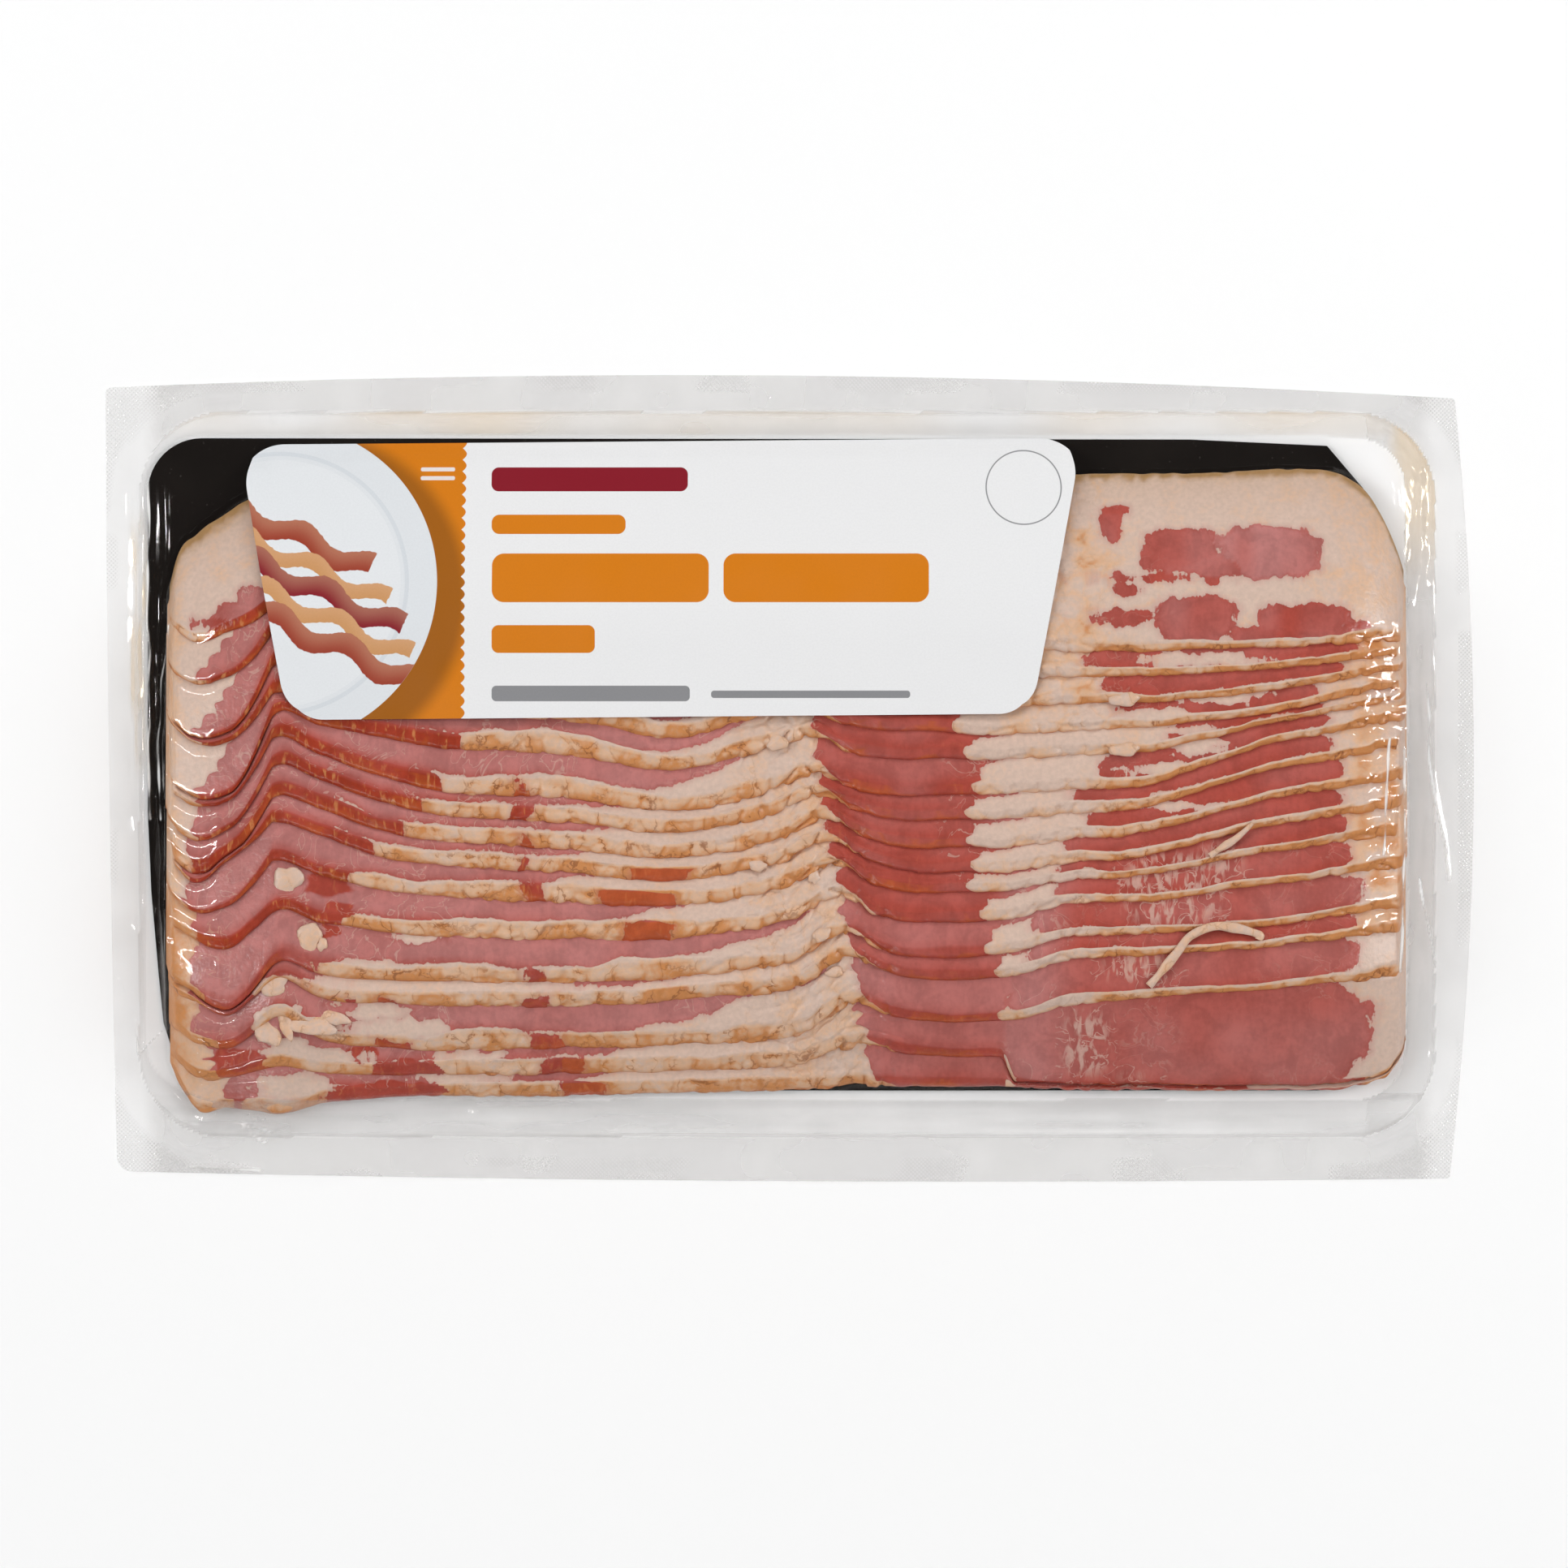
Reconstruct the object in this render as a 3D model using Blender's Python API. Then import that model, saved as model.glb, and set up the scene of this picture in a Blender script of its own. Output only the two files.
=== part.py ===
"""A sealed clear pack of sliced bacon, lying on its back with the slices up.

The pack is one solid, as it is shut: a flat sealed rim, the film drawn down
over the stack, and the shingled slices that show through it as steps. The
paper label stuck on its front is the second solid. Metres, +Z up, +X along
the pack, +Y towards the slices laid last.
"""

import bmesh
import bpy
import numpy as np

# The sealed rim, seen from the front. Each corner is (x, y).
RIM_TOP_LEFT = (-0.1516, 0.0866)
RIM_TOP_RIGHT = (0.1475, 0.0842)
RIM_BOTTOM_RIGHT = (0.1464, -0.0887)
RIM_BOTTOM_LEFT = (-0.1490, -0.0871)
RIM_TOP_BOW = 0.0039
RIM_BOTTOM_BOW = -0.0014
RIM_RIGHT_BOW = 0.0048
RIM_LEFT_BOW = -0.0005
RIM_THICKNESS = 0.0006

# The formed pocket inside the rim, as a rectangle with round corners.
POCKET_LEFT = -0.1438
POCKET_RIGHT = 0.1432
POCKET_BOTTOM = -0.0795
POCKET_TOP = 0.0812
POCKET_CORNER = 0.0190

# What the film is drawn down onto: the board with the slices on it.
BLOCK_LEFT = -0.1372
BLOCK_RIGHT = 0.1376
BLOCK_BOTTOM = -0.0712
BLOCK_TOP = 0.0754
BLOCK_CORNER = 0.0110
BOARD_LEVEL = 0.0017

# The stack of slices.
SLICE_THICKNESS = 0.0026
STACK_HEIGHT = 0.0160
STACK_RISE = 0.0340
STACK_FALL = 0.0400
END_ROUNDING = 0.0170
END_DROP = 0.30
RIND_DROP = 0.0030
STEP_HEIGHT = 0.0019
SIDE_SHARE = 0.40
SIDE_WIDTH = 0.0023

# How much of each slice shows below the next one up, at the lean column.
FIRST_FOOT = -0.0677
EXPOSED = (
    0.0077, 0.0063, 0.0092, 0.0061, 0.0063, 0.0061, 0.0063, 0.0045,
    0.0065, 0.0052, 0.0079, 0.0058, 0.0058, 0.0058, 0.0058,
)
LEAST_EXPOSED = 0.0011
SLICES = len(EXPOSED) + 1

# The waves that the lower edges follow along the pack, as (x, rise).
UPPER_WAVE = (
    (-0.1364, -0.0036), (-0.1294, -0.0027), (-0.1193, 0.0036), (-0.1120, 0.0094),
    (-0.1024, 0.0085), (-0.0887, 0.0043), (-0.0760, 0.0018), (-0.0653, -0.0005),
    (-0.0473, -0.0014), (-0.0293, -0.0027), (-0.0185, -0.0036), (-0.0059, -0.0022),
    (0.0067, 0.0014), (0.0139, 0.0014), (0.0247, 0.0), (0.0355, -0.0002),
    (0.0517, 0.0), (0.0697, 0.0004), (0.0967, 0.0022), (0.1147, 0.0043),
    (0.1363, 0.0047),
)
LOWER_WAVE = (
    (-0.1364, -0.0070), (-0.1294, -0.0072), (-0.1193, -0.0045), (-0.1120, -0.0018),
    (-0.1024, -0.0018), (-0.0887, -0.0027), (-0.0760, -0.0036), (-0.0653, -0.0045),
    (-0.0473, -0.0043), (-0.0293, -0.0032), (-0.0113, -0.0025), (0.0067, -0.0011),
    (0.0247, 0.0), (0.0391, -0.0004), (0.0517, 0.0007), (0.0697, 0.0025),
    (0.0967, 0.0050), (0.1147, 0.0068), (0.1363, 0.0088),
)
FIRST_UPPER_SLICE = 3.5
UPPER_BLEND = 4.0

# The lower edge of the stack, and where the second slice slips down to it.
BOTTOM_EDGE = (
    (-0.1364, -0.0731), (-0.1283, -0.0743), (-0.1103, -0.0731), (-0.0923, -0.0716),
    (-0.0653, -0.0706), (-0.0293, -0.0702), (-0.0023, -0.0689), (0.0247, -0.0680),
    (0.0517, -0.0689), (0.0787, -0.0695), (0.1147, -0.0695), (0.1291, -0.0682),
    (0.1372, -0.0632),
)
SLIP_START = 0.0490
SLIP_END = 0.0600
SLIP_EXPOSED = 0.0011

# The upper, smoked edge of the slice laid last.
TOP_EDGE = (
    (-0.1364, 0.0430), (-0.1347, 0.0497), (-0.1312, 0.0540), (-0.1237, 0.0592),
    (-0.1183, 0.0626), (-0.1013, 0.0650), (-0.0473, 0.0664), (0.0625, 0.0673),
    (0.0967, 0.0677), (0.1147, 0.0684), (0.1237, 0.0677), (0.1309, 0.0646),
    (0.1345, 0.0560), (0.1364, 0.0466),
)

# Small unevenness of each lower edge: (length of the wave, height).
WOBBLES = ((0.041, 0.00045), (0.019, 0.00025))
WOBBLE_TURN = 2.4

# The label: its corners before rounding, its corner radius and thickness.
LABEL_TOP_LEFT = (-0.1201, 0.0740)
LABEL_TOP_RIGHT = (0.0661, 0.0752)
LABEL_BOTTOM_RIGHT = (0.0560, 0.0142)
LABEL_BOTTOM_LEFT = (-0.1087, 0.0128)
LABEL_CORNER = 0.0080
LABEL_THICKNESS = 0.0004
LABEL_GAP = 0.0003
LABEL_REACH = 0.0022

# How finely the solids are divided.
MIDDLE_COLUMNS = 44
TOP_FACE_ROWS = 4
LABEL_COLUMNS = 30
LABEL_MIDDLE_ROWS = 6
LABEL_CORNER_ROWS = 4

SOLID_FINISH = {
    "sealed_pack": ((0.72, 0.40, 0.34, 1.0), 0.28),
    "front_label": ((0.93, 0.93, 0.93, 1.0), 0.40),
}


def clear_scene():
    for thing in list(bpy.data.objects):
        bpy.data.objects.remove(thing, do_unlink=True)


def smooth_curve(points, x):
    """A smooth curve through (x, value) points, level beyond its two ends."""
    at, value = np.array(points, float).T
    x = np.clip(x, at[0], at[-1])
    i = np.clip(np.searchsorted(at, x, side="right") - 1, 0, len(at) - 2)
    slope = np.gradient(value, at)
    gap = at[i + 1] - at[i]
    t = (x - at[i]) / gap
    rise = (2 * t**3 - 3 * t**2 + 1) * value[i] + (3 * t**2 - 2 * t**3) * value[i + 1]
    return rise + gap * ((t**3 - 2 * t**2 + t) * slope[i] + (t**3 - t**2) * slope[i + 1])


def ease(t):
    """0 to 1 with a smooth start and end."""
    t = np.clip(t, 0.0, 1.0)
    return t * t * (3 - 2 * t)


def round_over(t):
    """0 to 1 along a quarter wave: steep at first, then level."""
    return np.sin(np.clip(t, 0.0, 1.0) * np.pi / 2)


def wobble(x, number):
    """The small unevenness of one slice's lower edge."""
    return sum(
        height * np.sin(2 * np.pi * x / length + WOBBLE_TURN * number * (turn + 1))
        for turn, (length, height) in enumerate(WOBBLES)
    )


def lower_edges(x):
    """Where each slice's lower edge lies at x, the first laid first."""
    bottom = smooth_curve(BOTTOM_EDGE, x)
    edges = [bottom]
    place = FIRST_FOOT
    for number in range(1, SLICES):
        place = place + EXPOSED[number - 1]
        share = ease((number - FIRST_UPPER_SLICE) / UPPER_BLEND)
        wave = (1 - share) * smooth_curve(LOWER_WAVE, x) + share * smooth_curve(UPPER_WAVE, x)
        edge = place + wave + wobble(x, number)
        if number == 1:
            slip = ease((x - SLIP_START) / (SLIP_END - SLIP_START))
            edge = (1 - slip) * edge + slip * (bottom + SLIP_EXPOSED)
        edges.append(np.maximum(edge, edges[-1] + LEAST_EXPOSED))
    return np.array(edges)


def outside_distance(x, y, left, right, bottom, top, corner):
    """Distance outside a rectangle with round corners; negative inside it."""
    across = np.abs(x - (left + right) / 2) - (right - left) / 2 + corner
    along = np.abs(y - (bottom + top) / 2) - (top - bottom) / 2 + corner
    beyond = np.hypot(np.maximum(across, 0), np.maximum(along, 0))
    return beyond + np.minimum(np.maximum(across, along), 0) - corner


def pack_height(x, y):
    """Height of the stack under the film, without the steps of the slices."""
    bottom = smooth_curve(BOTTOM_EDGE, x)
    top = smooth_curve(TOP_EDGE, x)
    up = round_over((y - bottom) / STACK_RISE)
    down = round_over((top - y) / STACK_FALL)
    ends = round_over(np.minimum(x - BLOCK_LEFT, BLOCK_RIGHT - x) / END_ROUNDING)
    full = (STACK_HEIGHT - SLICE_THICKNESS) * up * down * (1 - END_DROP * (1 - ends))
    on_slices = ease((top + RIND_DROP - y) / RIND_DROP)
    return BOARD_LEVEL + (SLICE_THICKNESS + full) * on_slices


def slice_steps(x, y):
    """How far the film lies below the crests of the slices, at or below 0."""
    edges = lower_edges(x)
    above = np.concatenate([edges[1:], np.full((1, len(x)), np.inf)])
    depth = np.zeros(len(x))
    for number in range(SLICES):
        inside = (y >= edges[number]) & (y < above[number])
        shows = above[number] - edges[number]
        side = np.minimum(SIDE_WIDTH, SIDE_SHARE * shows)
        into = y - edges[number]
        climb = STEP_HEIGHT * (1 - round_over(into / side))
        open_face = np.isfinite(shows)
        width = np.where(open_face, shows - side, 1.0)
        fall = np.where(open_face, STEP_HEIGHT * np.clip((into - side) / width, 0, 1), 0.0)
        depth = np.where(inside, -(climb + fall), depth)
    return depth


def front_height(x, y, stepped=True):
    """Height of the front film over the whole pack."""
    in_x = np.clip(x, BLOCK_LEFT, BLOCK_RIGHT)
    in_y = np.clip(y, BLOCK_BOTTOM, BLOCK_TOP)
    height = pack_height(in_x, in_y)
    if stepped:
        height = height + slice_steps(in_x, in_y) * ease(
            (height - BOARD_LEVEL) / SLICE_THICKNESS
        )
    outside = outside_distance(
        x, y, BLOCK_LEFT, BLOCK_RIGHT, BLOCK_BOTTOM, BLOCK_TOP, BLOCK_CORNER
    )
    inside = -outside_distance(
        x, y, POCKET_LEFT, POCKET_RIGHT, POCKET_BOTTOM, POCKET_TOP, POCKET_CORNER
    )
    out, room = np.maximum(outside, 0), np.maximum(inside, 0)
    drawn = (1 - out / np.maximum(out + room, 1e-9)) ** 2
    return RIM_THICKNESS + (np.maximum(height, RIM_THICKNESS) - RIM_THICKNESS) * drawn


def side_line(start, end, share, bow):
    """A point along one side of the rim, bowed outwards at its middle."""
    return start + (end - start) * share + bow * (1 - (2 * share - 1) ** 2)


def rim_bottom(x):
    share = (x - RIM_BOTTOM_LEFT[0]) / (RIM_BOTTOM_RIGHT[0] - RIM_BOTTOM_LEFT[0])
    return side_line(RIM_BOTTOM_LEFT[1], RIM_BOTTOM_RIGHT[1], share, RIM_BOTTOM_BOW)


def rim_top(x):
    share = (x - RIM_TOP_LEFT[0]) / (RIM_TOP_RIGHT[0] - RIM_TOP_LEFT[0])
    return side_line(RIM_TOP_LEFT[1], RIM_TOP_RIGHT[1], share, RIM_TOP_BOW)


def rim_side(low, high, y, bow):
    share = (y - low[1]) / (high[1] - low[1])
    return side_line(low[0], high[0], share, bow)


def pack_columns():
    """The x stations, close together where the film drops at both ends."""
    left = [POCKET_LEFT, -0.1422, -0.1405, -0.1389, BLOCK_LEFT, -0.1350, -0.1320]
    right = [0.1324, 0.1354, BLOCK_RIGHT, 0.1390, 0.1404, 0.1418, POCKET_RIGHT]
    middle = np.linspace(left[-1], right[0], MIDDLE_COLUMNS + 1)[1:-1]
    return np.concatenate([left, middle, right])


def pack_rows(x):
    """The y stations at each x: the rim, the walls, and each slice's steps."""
    held = np.clip(x, BLOCK_LEFT, BLOCK_RIGHT)
    edges = lower_edges(held)
    top = smooth_curve(TOP_EDGE, held)
    level = np.ones(len(x))
    rows = [POCKET_BOTTOM * level, -0.0770 * level, edges[0] - 0.0022]
    for number in range(SLICES):
        if number < SLICES - 1:
            shows = edges[number + 1] - edges[number]
        else:
            shows = (top - edges[number]) / 2
        side = np.minimum(SIDE_WIDTH, SIDE_SHARE * shows)
        rows += [edges[number], edges[number] + side / 2, edges[number] + side]
    last = rows[-1]
    for step in range(1, TOP_FACE_ROWS + 1):
        rows.append(last + (top - last) * step / TOP_FACE_ROWS)
    rows += [top + RIND_DROP, BLOCK_TOP * level, 0.0783 * level, POCKET_TOP * level]
    return np.array(rows)


def closed_sheet(name, top_points, bottom_z):
    """A solid from a grid of points over a level or given underside."""
    rows, columns, _ = top_points.shape
    under = top_points.copy()
    under[..., 2] = bottom_z
    mesh = bmesh.new()
    upper = [[mesh.verts.new(p) for p in row] for row in top_points]
    lower = [[mesh.verts.new(p) for p in row] for row in under]
    for r in range(rows - 1):
        for c in range(columns - 1):
            mesh.faces.new(
                (upper[r][c], upper[r][c + 1], upper[r + 1][c + 1], upper[r + 1][c])
            )
            if np.ndim(bottom_z):
                mesh.faces.new(
                    (lower[r][c], lower[r + 1][c], lower[r + 1][c + 1], lower[r][c + 1])
                )
    around = [(0, c) for c in range(columns - 1)]
    around += [(r, columns - 1) for r in range(rows - 1)]
    around += [(rows - 1, c) for c in range(columns - 1, 0, -1)]
    around += [(r, 0) for r in range(rows - 1, 0, -1)]
    for (r, c), (r_next, c_next) in zip(around, around[1:] + around[:1]):
        mesh.faces.new(
            (lower[r][c], lower[r_next][c_next], upper[r_next][c_next], upper[r][c])
        )
    if not np.ndim(bottom_z):
        mesh.faces.new([lower[r][c] for r, c in reversed(around)])
        spare = [v for v in mesh.verts if not v.link_faces]
        bmesh.ops.delete(mesh, geom=spare, context="VERTS")
    data = bpy.data.meshes.new(name)
    mesh.to_mesh(data)
    mesh.free()
    solid = bpy.data.objects.new(name, data)
    bpy.context.scene.collection.objects.link(solid)
    return solid


def rounded_side_inset(from_edge):
    """How far a round corner draws the side in, near the label's long edges."""
    away = np.clip(LABEL_CORNER - from_edge, 0, LABEL_CORNER)
    return LABEL_CORNER - np.sqrt(LABEL_CORNER**2 - away**2)


def label_points():
    """The label's underside, row by row from its lower long edge to its upper."""
    corner = LABEL_CORNER * (1 - np.cos(np.linspace(0, np.pi / 2, LABEL_CORNER_ROWS + 1)))
    height = LABEL_TOP_LEFT[1] - LABEL_BOTTOM_LEFT[1]
    middle = np.linspace(LABEL_CORNER, height - LABEL_CORNER, LABEL_MIDDLE_ROWS + 2)
    up = np.concatenate([corner, middle[1:-1], height - corner[::-1]])
    points = np.zeros((len(up), LABEL_COLUMNS + 1, 3))
    for row, rise in enumerate(up):
        share = rise / height
        inset = rounded_side_inset(min(rise, height - rise))
        left = LABEL_BOTTOM_LEFT[0] + share * (LABEL_TOP_LEFT[0] - LABEL_BOTTOM_LEFT[0])
        right = LABEL_BOTTOM_RIGHT[0] + share * (
            LABEL_TOP_RIGHT[0] - LABEL_BOTTOM_RIGHT[0]
        )
        across = np.linspace(0, 1, LABEL_COLUMNS + 1)
        low = LABEL_BOTTOM_LEFT[1] + across * (LABEL_BOTTOM_RIGHT[1] - LABEL_BOTTOM_LEFT[1])
        high = LABEL_TOP_LEFT[1] + across * (LABEL_TOP_RIGHT[1] - LABEL_TOP_LEFT[1])
        points[row, :, 0] = (left + inset) + across * (right - left - 2 * inset)
        points[row, :, 1] = low + share * (high - low)
        points[row, :, 2] = LABEL_GAP + drawn_taut(points[row, :, 0], points[row, :, 1])
    return points


def drawn_taut(x, y):
    """The crest of the film near each point, which taut paper bridges from."""
    near = (-LABEL_REACH, 0.0, LABEL_REACH)
    crests = [front_height(x + dx, y + dy, stepped=False) for dx in near for dy in near]
    return np.max(crests, axis=0)


def make_sealed_pack():
    """The shut pack: rim, drawn film and the stepped front, flat underneath."""
    x = pack_columns()
    y = pack_rows(x)
    inner = np.stack([np.broadcast_to(x, y.shape), y], axis=-1)
    low = np.stack([x, rim_bottom(x)], axis=-1)[None]
    high = np.stack([x, rim_top(x)], axis=-1)[None]
    rows = np.concatenate([low, inner, high])
    left = rows[:, :1].copy()
    right = rows[:, -1:].copy()
    left[..., 0] = rim_side(RIM_BOTTOM_LEFT, RIM_TOP_LEFT, left[..., 1], RIM_LEFT_BOW)
    right[..., 0] = rim_side(
        RIM_BOTTOM_RIGHT, RIM_TOP_RIGHT, right[..., 1], RIM_RIGHT_BOW
    )
    left[0, 0], left[-1, 0] = RIM_BOTTOM_LEFT, RIM_TOP_LEFT
    right[0, 0], right[-1, 0] = RIM_BOTTOM_RIGHT, RIM_TOP_RIGHT
    grid = np.concatenate([left, rows, right], axis=1)
    points = np.zeros((*grid.shape[:2], 3))
    points[..., :2] = grid
    flat = grid.reshape(-1, 2)
    points[..., 2] = front_height(flat[:, 0], flat[:, 1]).reshape(grid.shape[:2])
    return closed_sheet("sealed_pack", points, 0.0)


def make_front_label():
    """The paper label, which follows the film over the crests of the slices."""
    under = label_points()
    top = under.copy()
    top[..., 2] += LABEL_THICKNESS
    return closed_sheet("front_label", top, under[..., 2])


def finish(solid):
    colour, roughness = SOLID_FINISH[solid.name]
    material = bpy.data.materials.new(solid.name)
    material.use_nodes = True
    shader = material.node_tree.nodes["Principled BSDF"]
    shader.inputs["Base Color"].default_value = colour
    shader.inputs["Roughness"].default_value = roughness
    shader.inputs["Metallic"].default_value = 0.0
    solid.data.materials.append(material)
    solid.data.shade_smooth()
    solid.data.set_sharp_from_angle(angle=np.radians(35))


def centre_on_rim(solids):
    """Moves the whole pack so that the middle of its outline is the origin."""
    corners = np.array([v.co for v in solids[0].data.vertices])
    middle = (corners.min(axis=0) + corners.max(axis=0)) / 2
    for solid in solids:
        solid.location = (-middle[0], -middle[1], 0.0)


def main():
    clear_scene()
    solids = [make_sealed_pack(), make_front_label()]
    for solid in solids:
        finish(solid)
    centre_on_rim(solids)


main()
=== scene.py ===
"""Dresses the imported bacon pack: clear film, black board, shingled slices and paper label.

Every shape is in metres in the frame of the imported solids: +X along the slices, +Y across
them towards the slice laid last, +Z out of the front of the pack. Slices are numbered from
the one laid last, which is wholly shown, to the one laid first.
"""

import bpy
import numpy as np
from bpy.props import FloatProperty, FloatVectorProperty, PointerProperty
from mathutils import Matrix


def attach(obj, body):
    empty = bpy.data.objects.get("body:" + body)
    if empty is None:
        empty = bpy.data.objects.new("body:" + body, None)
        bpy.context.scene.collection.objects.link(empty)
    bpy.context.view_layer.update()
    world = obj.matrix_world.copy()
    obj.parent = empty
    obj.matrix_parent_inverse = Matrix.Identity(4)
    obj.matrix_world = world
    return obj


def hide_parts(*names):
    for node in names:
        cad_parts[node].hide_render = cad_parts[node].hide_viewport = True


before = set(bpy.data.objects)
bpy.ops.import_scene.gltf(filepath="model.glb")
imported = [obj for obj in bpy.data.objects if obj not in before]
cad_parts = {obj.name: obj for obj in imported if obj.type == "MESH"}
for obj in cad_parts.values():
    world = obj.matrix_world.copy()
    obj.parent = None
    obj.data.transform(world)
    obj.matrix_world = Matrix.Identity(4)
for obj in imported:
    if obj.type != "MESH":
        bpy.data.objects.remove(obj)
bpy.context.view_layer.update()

bl_info = {
    "name": "Sliced Bacon Pack",
    "version": (1, 0, 0),
    "blender": (4, 5, 0),
    "location": "3D View > Sidebar > Bacon Pack",
    "description": "Builds the film, board, slices and label of a sealed bacon pack",
    "category": "Object",
}

MM = 0.001

# The photograph's scale, and the pixel that lies at the pack's centre.
PHOTO_SIDE = 1932
PHOTO_PIXEL = 0.00018
PHOTO_CENTRE = (972.5, 959.0)

# The sealed rim's corners and how far each side bows outwards.
RIM_LEFT_LOW, RIM_LEFT_HIGH = (-149.0 * MM, -87.1 * MM), (-151.6 * MM, 86.6 * MM)
RIM_RIGHT_LOW, RIM_RIGHT_HIGH = (146.4 * MM, -88.7 * MM), (147.5 * MM, 84.2 * MM)
RIM_BOWS = {"left": 0.5 * MM, "right": 4.8 * MM, "bottom": 1.4 * MM, "top": 3.9 * MM}
RIM_CORNERS = {"left_low": 3.2 * MM, "left_high": 1.2 * MM, "right_low": 0.6 * MM, "right_high": 0.6 * MM}

# The pocket formed in the film, and the block of board and slices that it is drawn onto.
# Each is left, right, bottom, top and the radius of its corners.
POCKET = (-144.2 * MM, 143.2 * MM, -79.4 * MM, 81.2 * MM, 19.0 * MM)
BLOCK = (-137.6 * MM, 136.4 * MM, -71.2 * MM, 75.4 * MM, 11.0 * MM)
BOARD = (-142.2 * MM, 129.0 * MM, -69.2 * MM, 75.4 * MM, 12.0 * MM)

# Points of the board's outline, in millimetres, at its lower left end and at its cut corner.
BOARD_SLANT = (
    (-142.2, -7.4), (-141.4, -25.4), (-139.8, -43.4), (-138.7, -54.2), (-136.4, -61.4), (-131.9, -69.2),
)
BOARD_CUT = ((129.0, 60.0), (127.2, 64.3), (119.2, 73.7), (89.0, 75.1))

# Where each slice's lower edge lies at the middle of its lean band, last laid first.
FEET = (
    27.5, 21.8, 16.0, 10.3, 4.1, -4.1, -9.4, -15.3, -20.7, -25.4, -31.9, -39.8, -44.5, -53.8, -61.4, -68.2,
)
SLICES = len(FEET)

# The waves of the lower edges. Each row is a place along the pack and the rise there, in
# millimetres, of the slices with these numbers; those between them blend.
WAVE_SLICES = (0, 3, 5, 8, 11, 13, 15)
WAVES = (
    (-136.4, 5.6, 3.1, 5.8, 3.4, -1.8, -0.7, -1.3),
    (-131.0, 2.5, -0.5, 2.9, -1.4, -4.5, -3.8, -5.6),
    (-123.8, 4.7, -0.5, 3.8, 3.2, -9.4, -4.9, -4.7),
    (-117.6, 7.2, 3.6, 8.5, 7.2, -4.9, -1.4, -5.4),
    (-113.5, 10.1, 7.2, 12.1, 10.1, -1.1, 1.4, -6.1),
    (-103.1, 11.0, 6.1, 9.2, 7.9, -3.6, -4.0, -3.6),
    (-89.6, 8.3, 5.4, 4.5, 3.4, -4.5, -5.8, -2.5),
    (-77.0, 5.6, 4.0, 1.1, 1.4, -5.0, -6.3, -2.2),
    (-63.5, 4.0, 3.2, 0.4, 0.4, -5.4, -6.3, -2.2),
    (-49.1, 2.9, 2.5, -0.5, -0.2, -5.4, -5.9, -2.0),
    (-22.1, 1.1, -1.4, -2.9, -1.8, -3.6, -4.9, -1.3),
    (-7.7, 2.0, 2.5, 0.0, 1.1, -1.1, -3.1, -0.7),
    (5.5, 2.9, 4.7, 4.9, 6.7, 5.4, 4.1, 0.5),
    (12.5, 1.2, 2.0, 2.0, 2.6, 1.9, 1.5, 0.1),
    (23.0, 0.0, 0.0, 0.0, 0.0, 0.0, 0.0, 0.0),
    (34.0, 0.3, 0.0, 0.3, 0.2, 0.5, 0.2, -0.1),
    (44.0, 0.6, -0.8, 0.4, 0.1, 1.5, 0.6, -0.5),
    (52.0, 0.6, -0.6, 0.9, 1.0, 3.5, 2.0, -0.7),
    (59.0, 0.5, -0.2, 1.4, 1.6, 4.7, 3.5, -0.9),
    (77.0, 0.4, 0.9, 2.4, 3.5, 5.4, 4.9, -1.1),
    (105.8, 1.6, 4.3, 11.5, 10.3, 7.4, 7.2, -1.3),
    (131.0, 2.5, 9.4, 16.0, 14.0, 10.8, 9.7, 0.9),
)
NOTCH_SLICE = 4
NOTCH_SHIFT = 1.1
NOTCH_SPAN = (-24.0, 5.5, 46.0, 66.0)

# At the left end the slices lie in pairs: how far each drops there, in millimetres, and how
# wide its cut side shows there as a share of its width elsewhere.
LEFT_DROPS = (0.0, 2.7, 7.4, 2.0, 9.6, 4.9, 5.6, 5.8, 1.0, 1.7, 0.5, 3.0, 0.7, 0.9, 0.0, 0.0)
LEFT_SIDES = (0.85, 0.40, 0.30, 0.40, 0.35, 1.70, 0.40, 1.45, 0.50, 0.35, 0.90, 0.60, 0.60, 0.65, 0.80, 0.80)
LEFT_SPAN = (-123.0, -110.5)
CUSP_LAST = 9
SLIP_SPAN = (46.5, 50.5)
SLIP_EXPOSED = 0.7
LEAST_EXPOSED = 1.2
CUSP_AT = -113.8
CUSP_RISE = 1.5

# How wide the cut sides show, and how knobbly their fat is, along the pack in millimetres.
SIDE_SHARES = (
    (-137.0, 0.62), (-120.0, 0.75), (-85.0, 0.85), (-70.0, 1.0), (-15.0, 1.0), (0.0, 0.85), (20.0, 0.68),
    (45.0, 0.68), (60.0, 0.60), (80.0, 0.45), (118.0, 0.46), (130.0, 0.66),
)
LUMPINESS = (
    (-137.6, 0.8), (-130.0, 0.5), (-122.0, 0.12), (-82.0, 0.12), (-72.0, 0.50), (-18.0, 0.55), (-8.0, 0.95),
    (12.0, 1.0), (18.0, 0.10), (36.0, 0.10), (44.0, 0.45), (58.0, 0.70), (72.0, 0.45), (110.0, 0.45),
    (124.0, 0.85), (136.4, 1.0),
)

# How far in from its edges the stack swells to its full height.
FRONT_SWELL, BACK_SWELL, END_SWELL = 34.0 * MM, 40.0 * MM, 17.0 * MM

# The smoked upper edge of the slice laid last.
RIND_LINE = (
    (-137.6, 41.0), (-135.6, 48.5), (-131.2, 54.0), (-123.7, 59.2), (-118.3, 62.6),
    (-101.3, 65.0), (-47.3, 66.4), (62.5, 67.3), (96.7, 67.7), (112.0, 68.4),
    (118.9, 68.0), (123.8, 66.3), (127.4, 63.6), (130.2, 59.6), (132.8, 54.6), (134.8, 49.6), (136.4, 44.8),
)

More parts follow.
